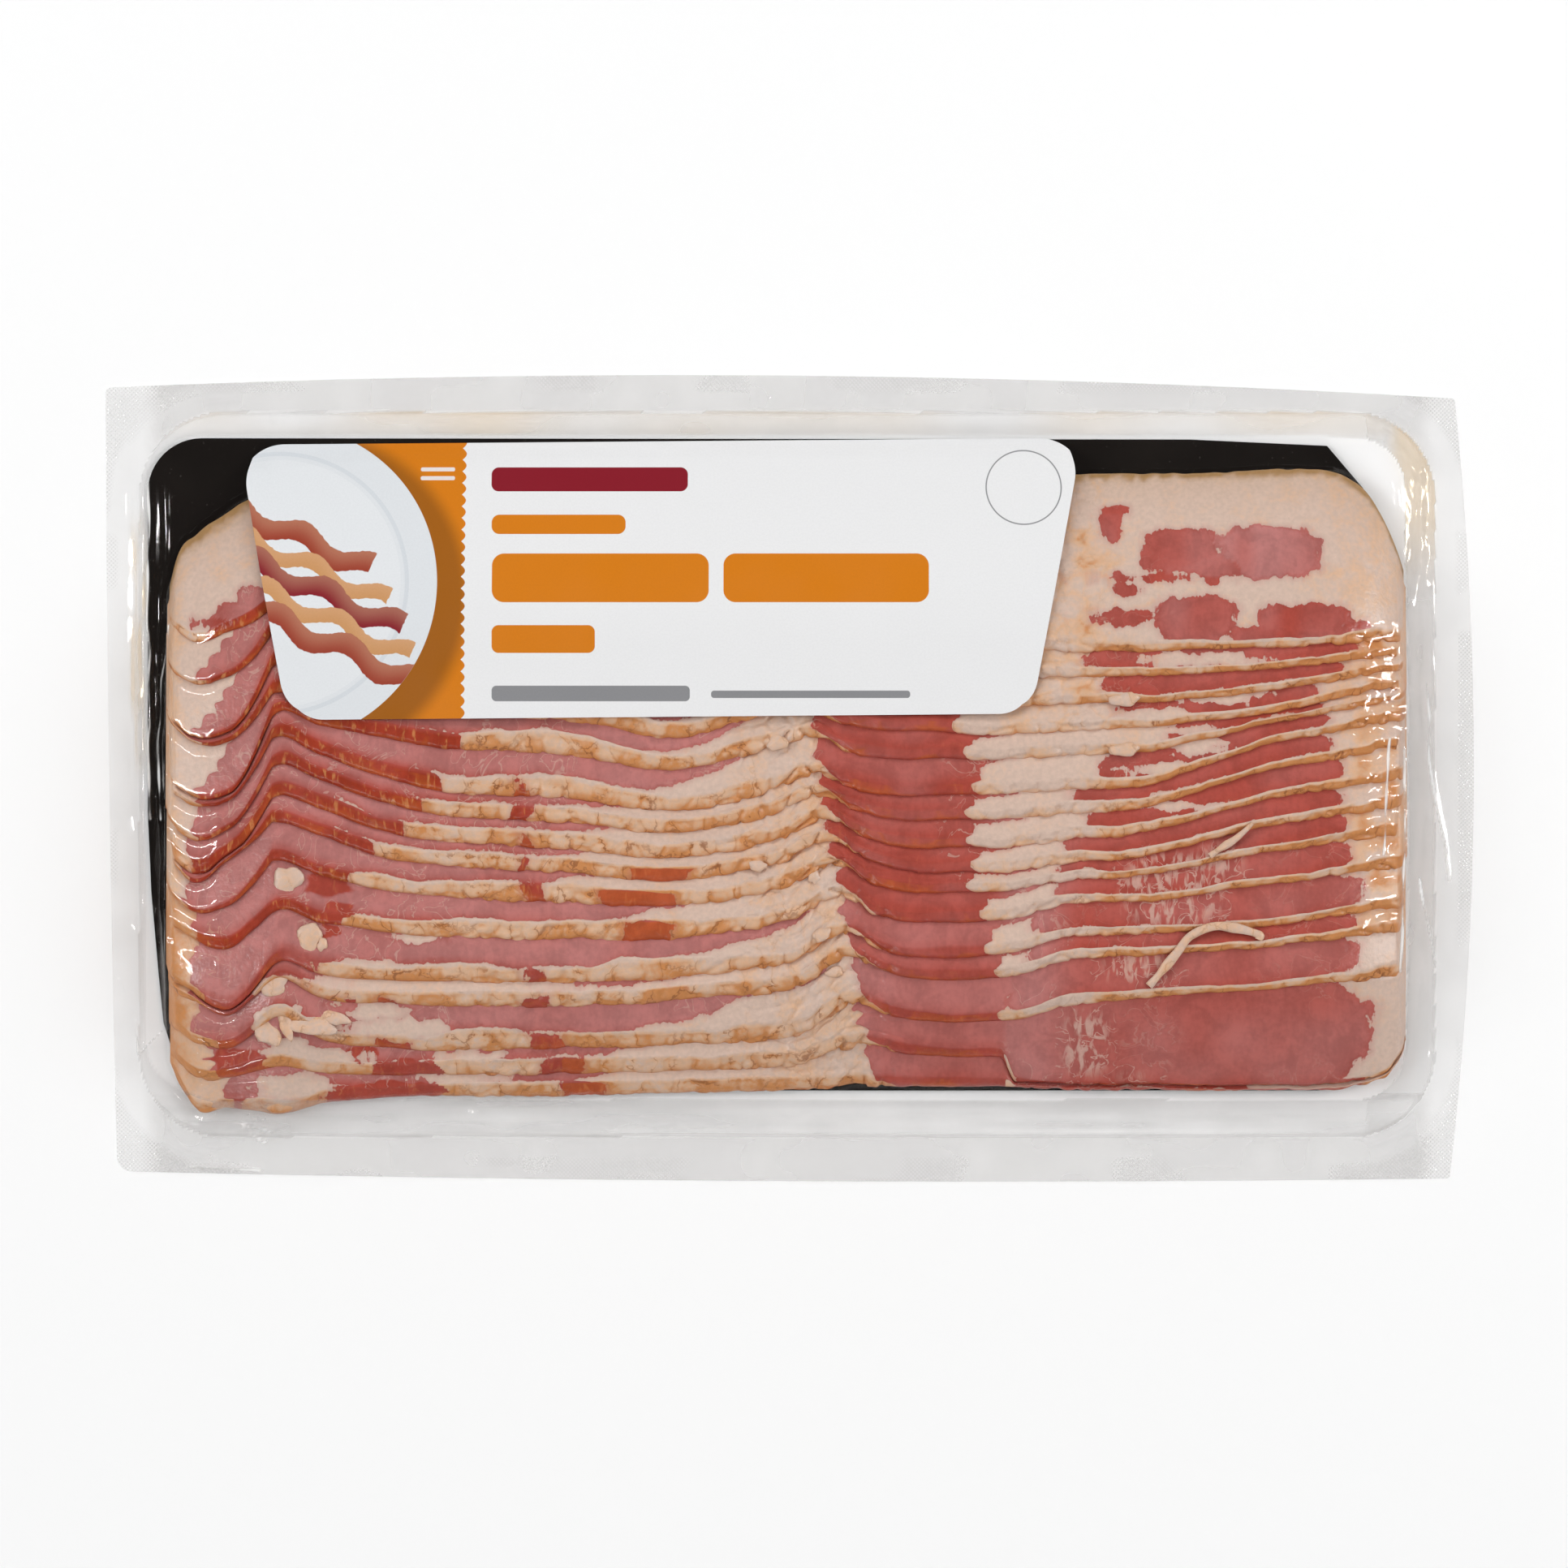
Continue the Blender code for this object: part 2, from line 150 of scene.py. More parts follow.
# Where lean and fat meet, in millimetres along the pack, for the slices in PATTERN_SLICES.
PATTERN_SLICES = (0, 1, 3, 4, 5, 6, 7, 8, 9, 10, 11, 12, 13, 14, 15)
SIDE_LEAN_ENDS = (-72, -72, -72, -72, -76, -81, -85, -91, -97, -98, -104, -107, -117, -121, -121)
LEAN_BAND_ENDS = (36, 36, 35, 38, 40, 38.5, 39, 40, 39, 41.5, 42.5, 45, 45.5, 47.5, 50)
RIGHT_LEAN_STARTS = (90, 64, 72, 84, 68, 63, 66, 61, 60, 59, 53, 52, 48, 46, 47)
RIGHT_LEAN_ENDS = (125, 127, 116, 117, 118, 120, 122, 122, 124, 124, 125, 125, 126, 127, 100)

# Small lean patches in the fat sides: (slice, from, to), in millimetres along the pack.
SIDE_PATCHES = (
    (5, -60.5, -58.3), (6, -60.0, -57.5), (7, -59.5, -57.2), (8, -59.0, -57.0), (9, -58.0, -56.0),
    (8, -34.6, -22.0), (9, -41.0, -25.6), (10, -35.5, -27.4), (12, -30.0, -24.3),
    (11, -57.0, -54.2), (12, -57.0, -54.0), (13, -56.2, -50.8), (14, -54.0, -46.0),
    (15, -49.9, -41.9), (15, -103.0, -85.0), (13, -91.0, -84.0), (12, -89.0, -86.0),
)

# Lean lobes on the face of the slice laid last: centre and half sizes in photo pixels, and how red.
TOP_LOBES = (
    (1448, 680, 46, 28, 0.60), (1494, 698, 76, 15, 0.50), (1560, 682, 66, 33, 0.05),
    (1470, 764, 52, 29, 0.65), (1548, 784, 60, 12, 0.80), (1602, 770, 56, 26, 0.70),
    (1650, 780, 34, 15, 0.75), (1366, 650, 14, 20, 0.80), (1372, 632, 16, 6, 0.90),
    (1385, 727, 17, 9, 0.90), (1384, 762, 44, 10, 0.90), (1430, 714, 60, 5, 0.90),
    (326, 748, 32, 26, 0.30), (300, 760, 30, 17, 0.35), (278, 770, 26, 9, 0.90), (338, 766, 40, 14, 0.50),
)

# Spots where a face is fat or lean against its slice's pattern: (slice, centre, half sizes), pixels.
FAT_SPOTS = (
    (5, 434, 964, 8, 7), (6, 450, 1007, 7, 6), (7, 441, 1044, 14, 8),
    (13, 490, 1268, 66, 13), (13, 460, 1244, 34, 12), (14, 395, 1304, 60, 17), (11, 470, 1191, 72, 9),
    (11, 520, 1152, 26, 5), (12, 480, 1208, 84, 12), (15, 362, 1338, 46, 16), (15, 250, 1330, 34, 34),
    (14, 240, 1300, 24, 28), (12, 350, 1215, 30, 12), (14, 600, 1300, 60, 8), (15, 560, 1326, 70, 7),
    (13, 352, 1262, 34, 26), (14, 352, 1290, 30, 16), (1, 1485, 815, 76, 10),
    (3, 1500, 856, 54, 13), (3, 1427, 885, 66, 12), (4, 1427, 900, 60, 6), (12, 560, 1216, 190, 14),
    (12, 850, 1222, 170, 13), (14, 920, 1308, 130, 10), (15, 920, 1346, 130, 10),
    (5, 1478, 920, 32, 11), (5, 1437, 950, 62, 10), (6, 1456, 982, 60, 8), (7, 1456, 994, 60, 6),
)
LEAN_SPOTS = (
    (14, 500, 1316, 44, 12), (13, 516, 1257, 34, 10), (15, 470, 1344, 80, 11), (12, 398, 1222, 38, 12),
    (14, 296, 1306, 32, 18), (10, 406, 1088, 30, 14), (10, 418, 1124, 13, 14), (11, 411, 1146, 14, 13),
    (14, 452, 1294, 15, 9), (13, 448, 1238, 11, 6),
)

# How red the lean spots of these slices are.
SPOT_REDS = {10: 1.25, 11: 1.25, 14: 1.125, 15: 1.25}

# Feathery pale marbling over the lean faces from this slice on: centre and half sizes, in pixels.
FIRST_MARBLED = 7
MARBLING = (
    (1440, 1095, 75, 55), (1400, 1190, 60, 30), (1336, 1285, 38, 55), (1500, 1060, 40, 30),
    (1395, 1325, 40, 14),
)

# Loose bits of fat on the stack: (x, y, half length, half width, turn), photo pixels and degrees.
NODULES = (
    (1382, 863, 18, 9, 0), (1382, 924, 18, 9, 0), (360, 1083, 17, 18, 0), (386, 1154, 15, 19, -30),
    (343, 1211, 18, 14, 20), (334, 1270, 14, 19, 35), (356, 1256, 9, 22, 12), (388, 1262, 28, 13, -8),
    (416, 1252, 20, 8, -20), (402, 1162, 6, 9, 0), (958, 916, 14, 9, 25),
    (934, 1066, 11, 7, 10), (1012, 1150, 12, 8, 40), (1028, 1196, 10, 7, 0), (1003, 1080, 9, 7, 60),
)
STRANDS = (
    (
        (1412, 1213), (1428, 1194), (1446, 1172), (1462, 1152), (1490, 1140), (1518, 1142), (1546, 1150),
        (1545, 1156),
    ),
    ((1486, 1054), (1500, 1044), (1516, 1034), (1530, 1022), (1538, 1014)),
)
STRAND_WIDTHS = (2.3 * MM, 1.7 * MM)

# The label: its corners before rounding, and each corner's radius.
LABEL_CORNERS = {
    "left_low": ((-110.3 * MM, 12.8 * MM), 8.0 * MM),
    "right_low": ((53.2 * MM, 14.2 * MM), 7.0 * MM),
    "right_high": ((64.9 * MM, 75.4 * MM), 9.5 * MM),
    "left_high": ((-121.8 * MM, 73.9 * MM), 10.0 * MM),
}

# Rings pressed into the rim's corners: centres in photo pixels, and the radius.
EMBOSSED_RINGS = ((1762, 524), (963, 488), (1735, 1412), (165, 505), (170, 1405))
EMBOSSED_RADIUS = 2.7 * MM

# Long pleats that run up the film's ends: place along the pack and height in millimetres, seed.
PLEATS = (
    (-141.2, 0.70, 111), (-137.6, 0.55, 121), (134.2, 0.60, 131), (139.6, 0.85, 141), (-145.2, 0.50, 151),
)

# Sharp creases in the film, with a highlight painted along each where it is bent: two ends of each in photo
# pixels.
CREASES = (
    (212, 772, 201, 838), (201, 838, 197, 905), (197, 905, 200, 1010), (184, 596, 183, 760),
    (183, 760, 186, 1010), (150, 1205, 172, 1298), (172, 1298, 200, 1268), (235, 1438, 322, 1442),
    (303, 1372, 328, 1380), (305, 1387, 331, 1394), (314, 1400, 326, 1407), (1708, 911, 1698, 1052),
    (1727, 922, 1722, 1195), (1757, 841, 1762, 938), (1762, 938, 1786, 1084), (1747, 1084, 1770, 1190),
)


def photo_point(column, row):
    """The place in the pack's frame of a pixel of the photograph."""
    return (column - PHOTO_CENTRE[0]) * PHOTO_PIXEL, (PHOTO_CENTRE[1] - row) * PHOTO_PIXEL


def ease(t):
    """0 to 1 with a smooth start and end."""
    t = np.clip(t, 0.0, 1.0)
    return t * t * (3 - 2 * t)


def ramp(x, start, end):
    """0 to 1 as x goes from start to end."""
    return ease((x - start) / (end - start))


def round_over(t):
    """0 to 1 along a quarter wave: steep at first, then level."""
    return np.sin(np.clip(t, 0.0, 1.0) * np.pi / 2)


def bell(away, width):
    """1 at zero, falling off smoothly over this width."""
    return np.exp(-((away / width) ** 2))


def smooth_curve(points, x):
    """A smooth curve through (x, value) points, level beyond its two ends."""
    at, value = np.array(points, float).T
    x = np.clip(x, at[0], at[-1])
    i = np.clip(np.searchsorted(at, x, side="right") - 1, 0, len(at) - 2)
    slope = np.gradient(value, at)
    gap = at[i + 1] - at[i]
    t = (x - at[i]) / gap
    rise = (2 * t**3 - 3 * t**2 + 1) * value[i] + (3 * t**2 - 2 * t**3) * value[i + 1]
    return rise + gap * ((t**3 - 2 * t**2 + t) * slope[i] + (t**3 - t**2) * slope[i + 1])


def grain(x, y, length, seed):
    """Smooth seeded noise from -1 to 1, whose bumps are about as long as length."""
    table = np.random.default_rng(seed).uniform(-1, 1, (64, 64))
    u, v = np.broadcast_arrays(x / length, y / length)
    i, j = np.floor(u).astype(int), np.floor(v).astype(int)
    s, t = ease(u - i), ease(v - j)
    near = table[i % 64, j % 64] * (1 - t) + table[i % 64, (j + 1) % 64] * t
    far = table[(i + 1) % 64, j % 64] * (1 - t) + table[(i + 1) % 64, (j + 1) % 64] * t
    return near * (1 - s) + far * s


def pebbles(x, y, long, wide, seed):
    """Seeded lumps packed together: 0 in the cracks between them, rising to 1 on each."""
    jitter = np.random.default_rng(seed).uniform(0.12, 0.88, (64, 64, 2))
    u, v = np.broadcast_arrays(x / long, y / wide)
    i, j = np.floor(u).astype(int), np.floor(v).astype(int)
    near = np.full(u.shape, 9.0)
    second = near.copy()
    for di in (-1, 0, 1):
        for dj in (-1, 0, 1):
            spot = jitter[(i + di) % 64, (j + dj) % 64]
            gap = np.hypot(i + di + spot[..., 0] - u, j + dj + spot[..., 1] - v)
            second = np.minimum(second, np.maximum(near, gap))
            near = np.minimum(near, gap)
    return second - near


def spot_field(x, y, spot):
    """Millimetres inside an oval given by its centre and half sizes in photo pixels."""
    column, row, half_x, half_y = spot
    cx, cy = photo_point(column, row)
    half_x, half_y = half_x * PHOTO_PIXEL, half_y * PHOTO_PIXEL
    power = ((np.abs(x - cx) / half_x) ** 3 + (np.abs(y - cy) / half_y) ** 3) ** (1 / 3)
    return (1 - power) * min(half_x, half_y) / MM


def rows_of(table, number):
    """The rows of a table that belong to one slice, without its number."""
    return [row[1:] for row in table if row[0] == number]


def of_slice(values, number):
    """The value of a pattern row for one slice."""
    return float(np.interp(number, PATTERN_SLICES, values))


def outside_distance(x, y, box):
    """Distance outside a rectangle with round corners; negative inside it."""
    left, right, bottom, top, corner = box
    across = np.abs(x - (left + right) / 2) - (right - left) / 2 + corner
    along = np.abs(y - (bottom + top) / 2) - (top - bottom) / 2 + corner
    beyond = np.hypot(np.maximum(across, 0), np.maximum(along, 0))
    return beyond + np.minimum(np.maximum(across, along), 0) - corner


def corner_rise(x, left, right, reach):
    """How far a slice's lower edge lifts at its rounded ends."""
    near = np.clip(1 - (x - left) / reach, 0, 1), np.clip(1 - (right - x) / reach, 0, 1)
    return sum(reach * (1 - np.sqrt(1 - n**2)) for n in near)


def notch_window(at):
    """1 where the waves shift from slice to slice, along the pack in millimetres."""
    return ramp(at, *NOTCH_SPAN[:2]) * (1 - ramp(at, *NOTCH_SPAN[2:]))


def notch_shift(number):
    """How far along the pack the waves of a slice are shifted, in millimetres."""
    return NOTCH_SHIFT * (number - NOTCH_SLICE)


def slice_edges(x):
    """Where each slice's lower edge lies at x, the last laid first, in metres."""
    at = x / MM
    window = notch_window(at)
    paired = 1 - ramp(at, *LEFT_SPAN)
    cusp = CUSP_RISE * np.exp(-np.abs(at - CUSP_AT) / 2.4)
    far_right = ramp(at, 56.0, 76.0)
    edges = []
    for number in range(SLICES):
        moved = at - notch_shift(number) * window
        rises = [(row[0], np.interp(number, WAVE_SLICES, row[1:])) for row in WAVES]
        edge = FEET[number] + smooth_curve(rises, moved)
        edge = edge - LEFT_DROPS[number] * paired
        if 1 <= number <= CUSP_LAST:
            edge = edge + cusp
        knobs = smooth_curve(LUMPINESS, moved)
        edge = edge + 0.28 * grain(at, number * 7.3, 8.0, 11)
        edge = edge + 0.35 * far_right * grain(at, number * 5.7, 17.0, 13)
        edge = edge + (0.10 + 0.16 * knobs) * grain(at, number * 3.1, 2.2, 12)
        reach = 9.0 if number == SLICES - 1 else 2.2 + 1.4 * (number * 0.618 % 1)
        edges.append(edge + corner_rise(at, BLOCK[0] / MM, BLOCK[1] / MM, reach))
    slip = ramp(at, *SLIP_SPAN)
    edges[-2] = (1 - slip) * edges[-2] + slip * (edges[-1] + SLIP_EXPOSED)
    for number in range(SLICES - 2, -1, -1):
        edges[number] = np.maximum(edges[number], edges[number + 1] + LEAST_EXPOSED)
    return np.array(edges) * MM


def rind_line(x):
    """The upper edge of the slice laid last."""
    return (smooth_curve(RIND_LINE, x / MM) + 0.16 * grain(x / MM, 0 * x, 2.3, 14)) * MM


def stack_height(x, y, settings):
    """Height of the stack's crests above the floor."""
    bottom = slice_edges(x.ravel())[-1].reshape(x.shape)
    up = round_over((y - bottom) / FRONT_SWELL)
    down = round_over((rind_line(x) - y) / BACK_SWELL)
    ends = round_over(np.minimum(x - BLOCK[0], BLOCK[1] - x) / END_SWELL)
    full = (settings.stack_height - settings.slice_thickness) * up * down * (1 - 0.30 * (1 - ends))
    return settings.board_level + settings.slice_thickness + full


def side_width(number, x, shows, settings):
    """How wide a slice's cut side shows."""
    at = x / MM
    wide = settings.side_width * smooth_curve(SIDE_SHARES, at)
    wide = wide * (1 + 0.28 * grain(at, number * 4.1, 9.0, 15))
    wide = wide * (1 + (LEFT_SIDES[number] - 1) * (1 - ramp(at, *LEFT_SPAN)))
    if number >= SLICES - 2:
        wide = wide * (1 - 0.70 * ramp(at, 46.0, 56.0))
    most = 0.50 + 0.12 * ramp(at, -85.0, -70.0) * (1 - ramp(at, 0.0, 20.0))
    return np.minimum(wide, most * shows)


def side_rise(share):
    """Height of a cut side above its foot, as a share of the step: steep, then nearly level."""
    share = np.clip(share, 0.0, 1.0)
    return 0.62 * (1 - np.exp(-share / 0.10)) + 0.38 * share


def stepped_height(x, y, settings):
    """Height of the slices' surface, with the step down at each lower edge."""
    shape = x.shape
    x, y = x.ravel(), y.ravel()
    edges = slice_edges(x)
    top = rind_line(x)
    crest = stack_height(x, y, settings)
    height = np.full(len(x), settings.board_level)
    for number in range(SLICES):
        above = edges[number - 1] if number else top
        inside = (y >= edges[number]) & (y < above)
        shows = above - edges[number]
        side = side_width(number, x, shows, settings)
        into = y - edges[number]
        climb = settings.step_height * (1 - side_rise(into / side))
        fall = settings.step_height * np.clip((into - side) / (shows - side), 0, 1) if number else 0
        height = np.where(inside, crest - climb - fall, height)
    return height.reshape(shape)


def rounded_corners(points, corners):
    """Moves grid points near each named corner so that the outline is round there."""
    for (corner, inward), radius in corners:
        centre = np.array(corner) + np.array(inward) * radius
        away = (points[..., :2] - centre) * -np.array(inward)
        here = (away > 0).all(axis=-1)
        square = away.max(axis=-1)
        circle = np.hypot(away[..., 0], away[..., 1])
        scale = np.where(here & (circle > 0), square / np.maximum(circle, 1e-12), 1.0)
        moved = centre - away * scale[..., None] * np.array(inward)
        points[..., :2] = np.where(here[..., None], moved, points[..., :2])
    return points


def mesh_piece(name, points, faces, smooth=True):
    """A mesh object of these points and faces, in the scene."""
    data = bpy.data.meshes.new(name)
    data.from_pydata(points.reshape(-1, 3).tolist(), [], faces)
    data.validate()
    piece = bpy.data.objects.new(name, data)
    bpy.context.scene.collection.objects.link(piece)
    if smooth:
        data.shade_smooth()
    return piece


def grid_faces(rows, columns, start=0, wrap=False, flip=False):
    """Quads over a grid of points, joined last row to first where wrap is set."""
    r, c = np.meshgrid(np.arange(rows if wrap else rows - 1), np.arange(columns - 1), indexing="ij")
    here, after = r * columns + c, (r + 1) % rows * columns + c
    quads = np.stack([here, here + 1, after + 1, after], axis=-1).reshape(-1, 4) + start
    return (quads[:, ::-1] if flip else quads).tolist()


def closed_sheet(name, top, bottom):
    """A closed solid between two grids of points that share an outline in plan."""
    rows, columns, _ = top.shape
    faces = grid_faces(rows, columns) + grid_faces(rows, columns, rows * columns, flip=True)
    faces += rim_faces(rows, columns, rows * columns)
    piece = mesh_piece(name, np.concatenate([top.reshape(-1, 3), bottom.reshape(-1, 3)]), faces)
    piece.data.set_sharp_from_angle(angle=np.radians(50))
    return piece


def outline(rows, columns):
    """The numbers of a grid's outer points, anticlockwise."""
    around = list(range(columns - 1))
    around += [r * columns + columns - 1 for r in range(rows - 1)]
    around += [(rows - 1) * columns + c for c in range(columns - 1, 0, -1)]
    return around + [r * columns for r in range(rows - 1, 0, -1)]


def rim_faces(rows, columns, lower):
    """Quads that join the outlines of an upper and a lower grid."""
    around = outline(rows, columns)
    pairs = zip(around, around[1:] + around[:1])
    return [(lower + a, lower + b, b, a) for a, b in pairs]


def store(piece, name, values):
    """Keeps one number for each point of a piece, for its material to read."""
    attribute = piece.data.attributes.new(name, "FLOAT", "POINT")
    attribute.data.foreach_set("value", np.asarray(values, np.float32).ravel())


def add_node(tree, kind, inputs=None, **settings):
    """Adds a node, with its settings and what its inputs take: a value or a socket."""
    node = tree.nodes.new(kind)
    for name, value in settings.items():
        setattr(node, name, value)
    for name, value in (inputs or {}).items():
        plug(tree, node.inputs[name], value)
    return node


def plug(tree, socket, value):
    """Links a socket to another, or sets its value."""
    if isinstance(value, bpy.types.NodeSocket):
        tree.links.new(value, socket)
    else:
        socket.default_value = value


def calc(tree, operation, first, second=0.0, third=None, clamp=False):
    """A math node's result."""
    inputs = {0: first, 1: second}
    if third is not None:
        inputs[2] = third
    return add_node(tree, "ShaderNodeMath", inputs, operation=operation, use_clamp=clamp).outputs[0]


def times(tree, first, second, clamp=False):
    """The product of two numbers."""
    return calc(tree, "MULTIPLY", first, second, clamp=clamp)


def plus(tree, first, second, clamp=False):
    """The sum of two numbers."""
    return calc(tree, "ADD", first, second, clamp=clamp)


def minus(tree, first, second, clamp=False):
    """The first number less the second."""
    return calc(tree, "SUBTRACT", first, second, clamp=clamp)


def times_plus(tree, first, second, third, clamp=False):
    """First times second, plus third."""
    return calc(tree, "MULTIPLY_ADD", first, second, third, clamp=clamp)


def blend(tree, factor, first, second, mode="MIX"):
    """A mix of two colours."""
    node = add_node(tree, "ShaderNodeMix", data_type="RGBA", blend_type=mode)
    plug(tree, node.inputs[0], factor)
    plug(tree, node.inputs[6], first)
    plug(tree, node.inputs[7], second)
    return node.outputs[2]


def between(tree, value, low, high, start=0.0, end=1.0):
    """A smooth step of value from low to high."""
    inputs = {0: value, 1: low, 2: high, 3: start, 4: end}
    return add_node(tree, "ShaderNodeMapRange", inputs, interpolation_type="SMOOTHSTEP").outputs[0]


def noise(tree, point, scale, detail=2.0, distortion=0.0):
    """Noise over the surface, from 0 to 1."""
    inputs = {"Vector": point, "Scale": scale, "Detail": detail, "Distortion": distortion}
    return add_node(tree, "ShaderNodeTexNoise", inputs).outputs[0]


def vector(tree, operation, first, second=(0.0, 0.0, 0.0)):
    """A vector math node's result."""
    return add_node(tree, "ShaderNodeVectorMath", {0: first, 1: second}, operation=operation).outputs[0]


def distance(tree, first, second):
    """How far apart two points are."""
    node = add_node(tree, "ShaderNodeVectorMath", {0: first, 1: second}, operation="DISTANCE")
    return node.outputs["Value"]


def stretched(tree, point, scale):
    """The point with each axis scaled."""
    return vector(tree, "MULTIPLY", point, scale)


def combined(tree, x, y, z=0.0):
    """A vector of three numbers."""
    return add_node(tree, "ShaderNodeCombineXYZ", {0: x, 1: y, 2: z}).outputs[0]


def separated(tree, point):
    """The three numbers of a vector."""
    return add_node(tree, "ShaderNodeSeparateXYZ", {0: point}).outputs


def toned(tree, colour, tone):
    """The colour made lighter or darker by a number."""
    return blend(tree, 1.0, colour, combined(tree, tone, tone, tone), "MULTIPLY")


def stored(tree, name):
    """The number that store() kept on a piece's points."""
    return add_node(tree, "ShaderNodeAttribute", attribute_name=name).outputs["Fac"]


def surface_point(tree):
    """The place on the surface, in metres."""
    return add_node(tree, "ShaderNodeTexCoord").outputs["Object"]


def new_group(name, inputs, outputs):
    """A shader node group with named sockets, and its input and output nodes."""
    tree = bpy.data.node_groups.new(name, "ShaderNodeTree")
    for label, kind, default in inputs:
        socket = tree.interface.new_socket(label, in_out="INPUT", socket_type="NodeSocket" + kind)
        if default is not None:
            socket.default_value = default
    for label, kind in outputs:
        tree.interface.new_socket(label, in_out="OUTPUT", socket_type="NodeSocket" + kind)
    return tree, tree.nodes.new("NodeGroupInput").outputs, tree.nodes.new("NodeGroupOutput").inputs


def use_group(tree, name, **inputs):
    """Places a group in a tree. An input's spaces are written as underscores."""
    node = tree.nodes.new("ShaderNodeGroup")
    node.node_tree = bpy.data.node_groups[name]
    for label, value in inputs.items():
        plug(tree, node.inputs[label.replace("_", " ").capitalize()], value)
    return node.outputs


def new_material(name):
    """An empty material and its node tree with an output."""
    material = bpy.data.materials.new(name)
    material.use_nodes = True
    tree = material.node_tree
    tree.nodes.clear()
    return material, tree, tree.nodes.new("ShaderNodeOutputMaterial").inputs["Surface"]


def principled(tree, **inputs):
    """The Principled BSDF. An input's spaces are written as underscores."""
    titles = {name: name.replace("_", " ").title().replace("Ior", "IOR") for name in inputs}
    return add_node(tree, "ShaderNodeBsdfPrincipled", {titles[n]: v for n, v in inputs.items()})


def bump(tree, height, strength, depth):
    """The normal of a surface with this relief."""
    inputs = {"Height": height, "Strength": strength, "Distance": depth}
    return add_node(tree, "ShaderNodeBump", inputs).outputs[0]


def make_mottle_group():
    """Uneven tone at two sizes, for paper, board and film."""
    inputs = [("Point", "Vector", None), ("Coarse", "Float", 60.0), ("Fine", "Float", 900.0)]
    tree, given, out = new_group("Mottle", inputs, [("Cloud", "Float"), ("Grain", "Float")])
    tree.links.new(noise(tree, given["Point"], given["Coarse"], 3.0), out["Cloud"])
    tree.links.new(noise(tree, given["Point"], given["Fine"], 2.0), out["Grain"])


# How far a printed edge is soft to each side, in metres.
PRINT_BLUR = 0.00006

# Colours of lean that has dried, of the smoked skin and of cracks, and the painted shade at each slice's
# lower edge, where it meets the slice below.
RUST, RIND = (0.50, 0.105, 0.022, 1), (0.36, 0.20, 0.07, 1)
CRACK, GAP_SHADE = (0.26, 0.085, 0.030, 1), (0.70, 0.38, 0.27, 1)

# What the bacon's material reads from each point of a slice.
SLICE_FIELDS = ("lean", "side", "red", "warm", "rind", "gap", "knobs", "vein", "slice")


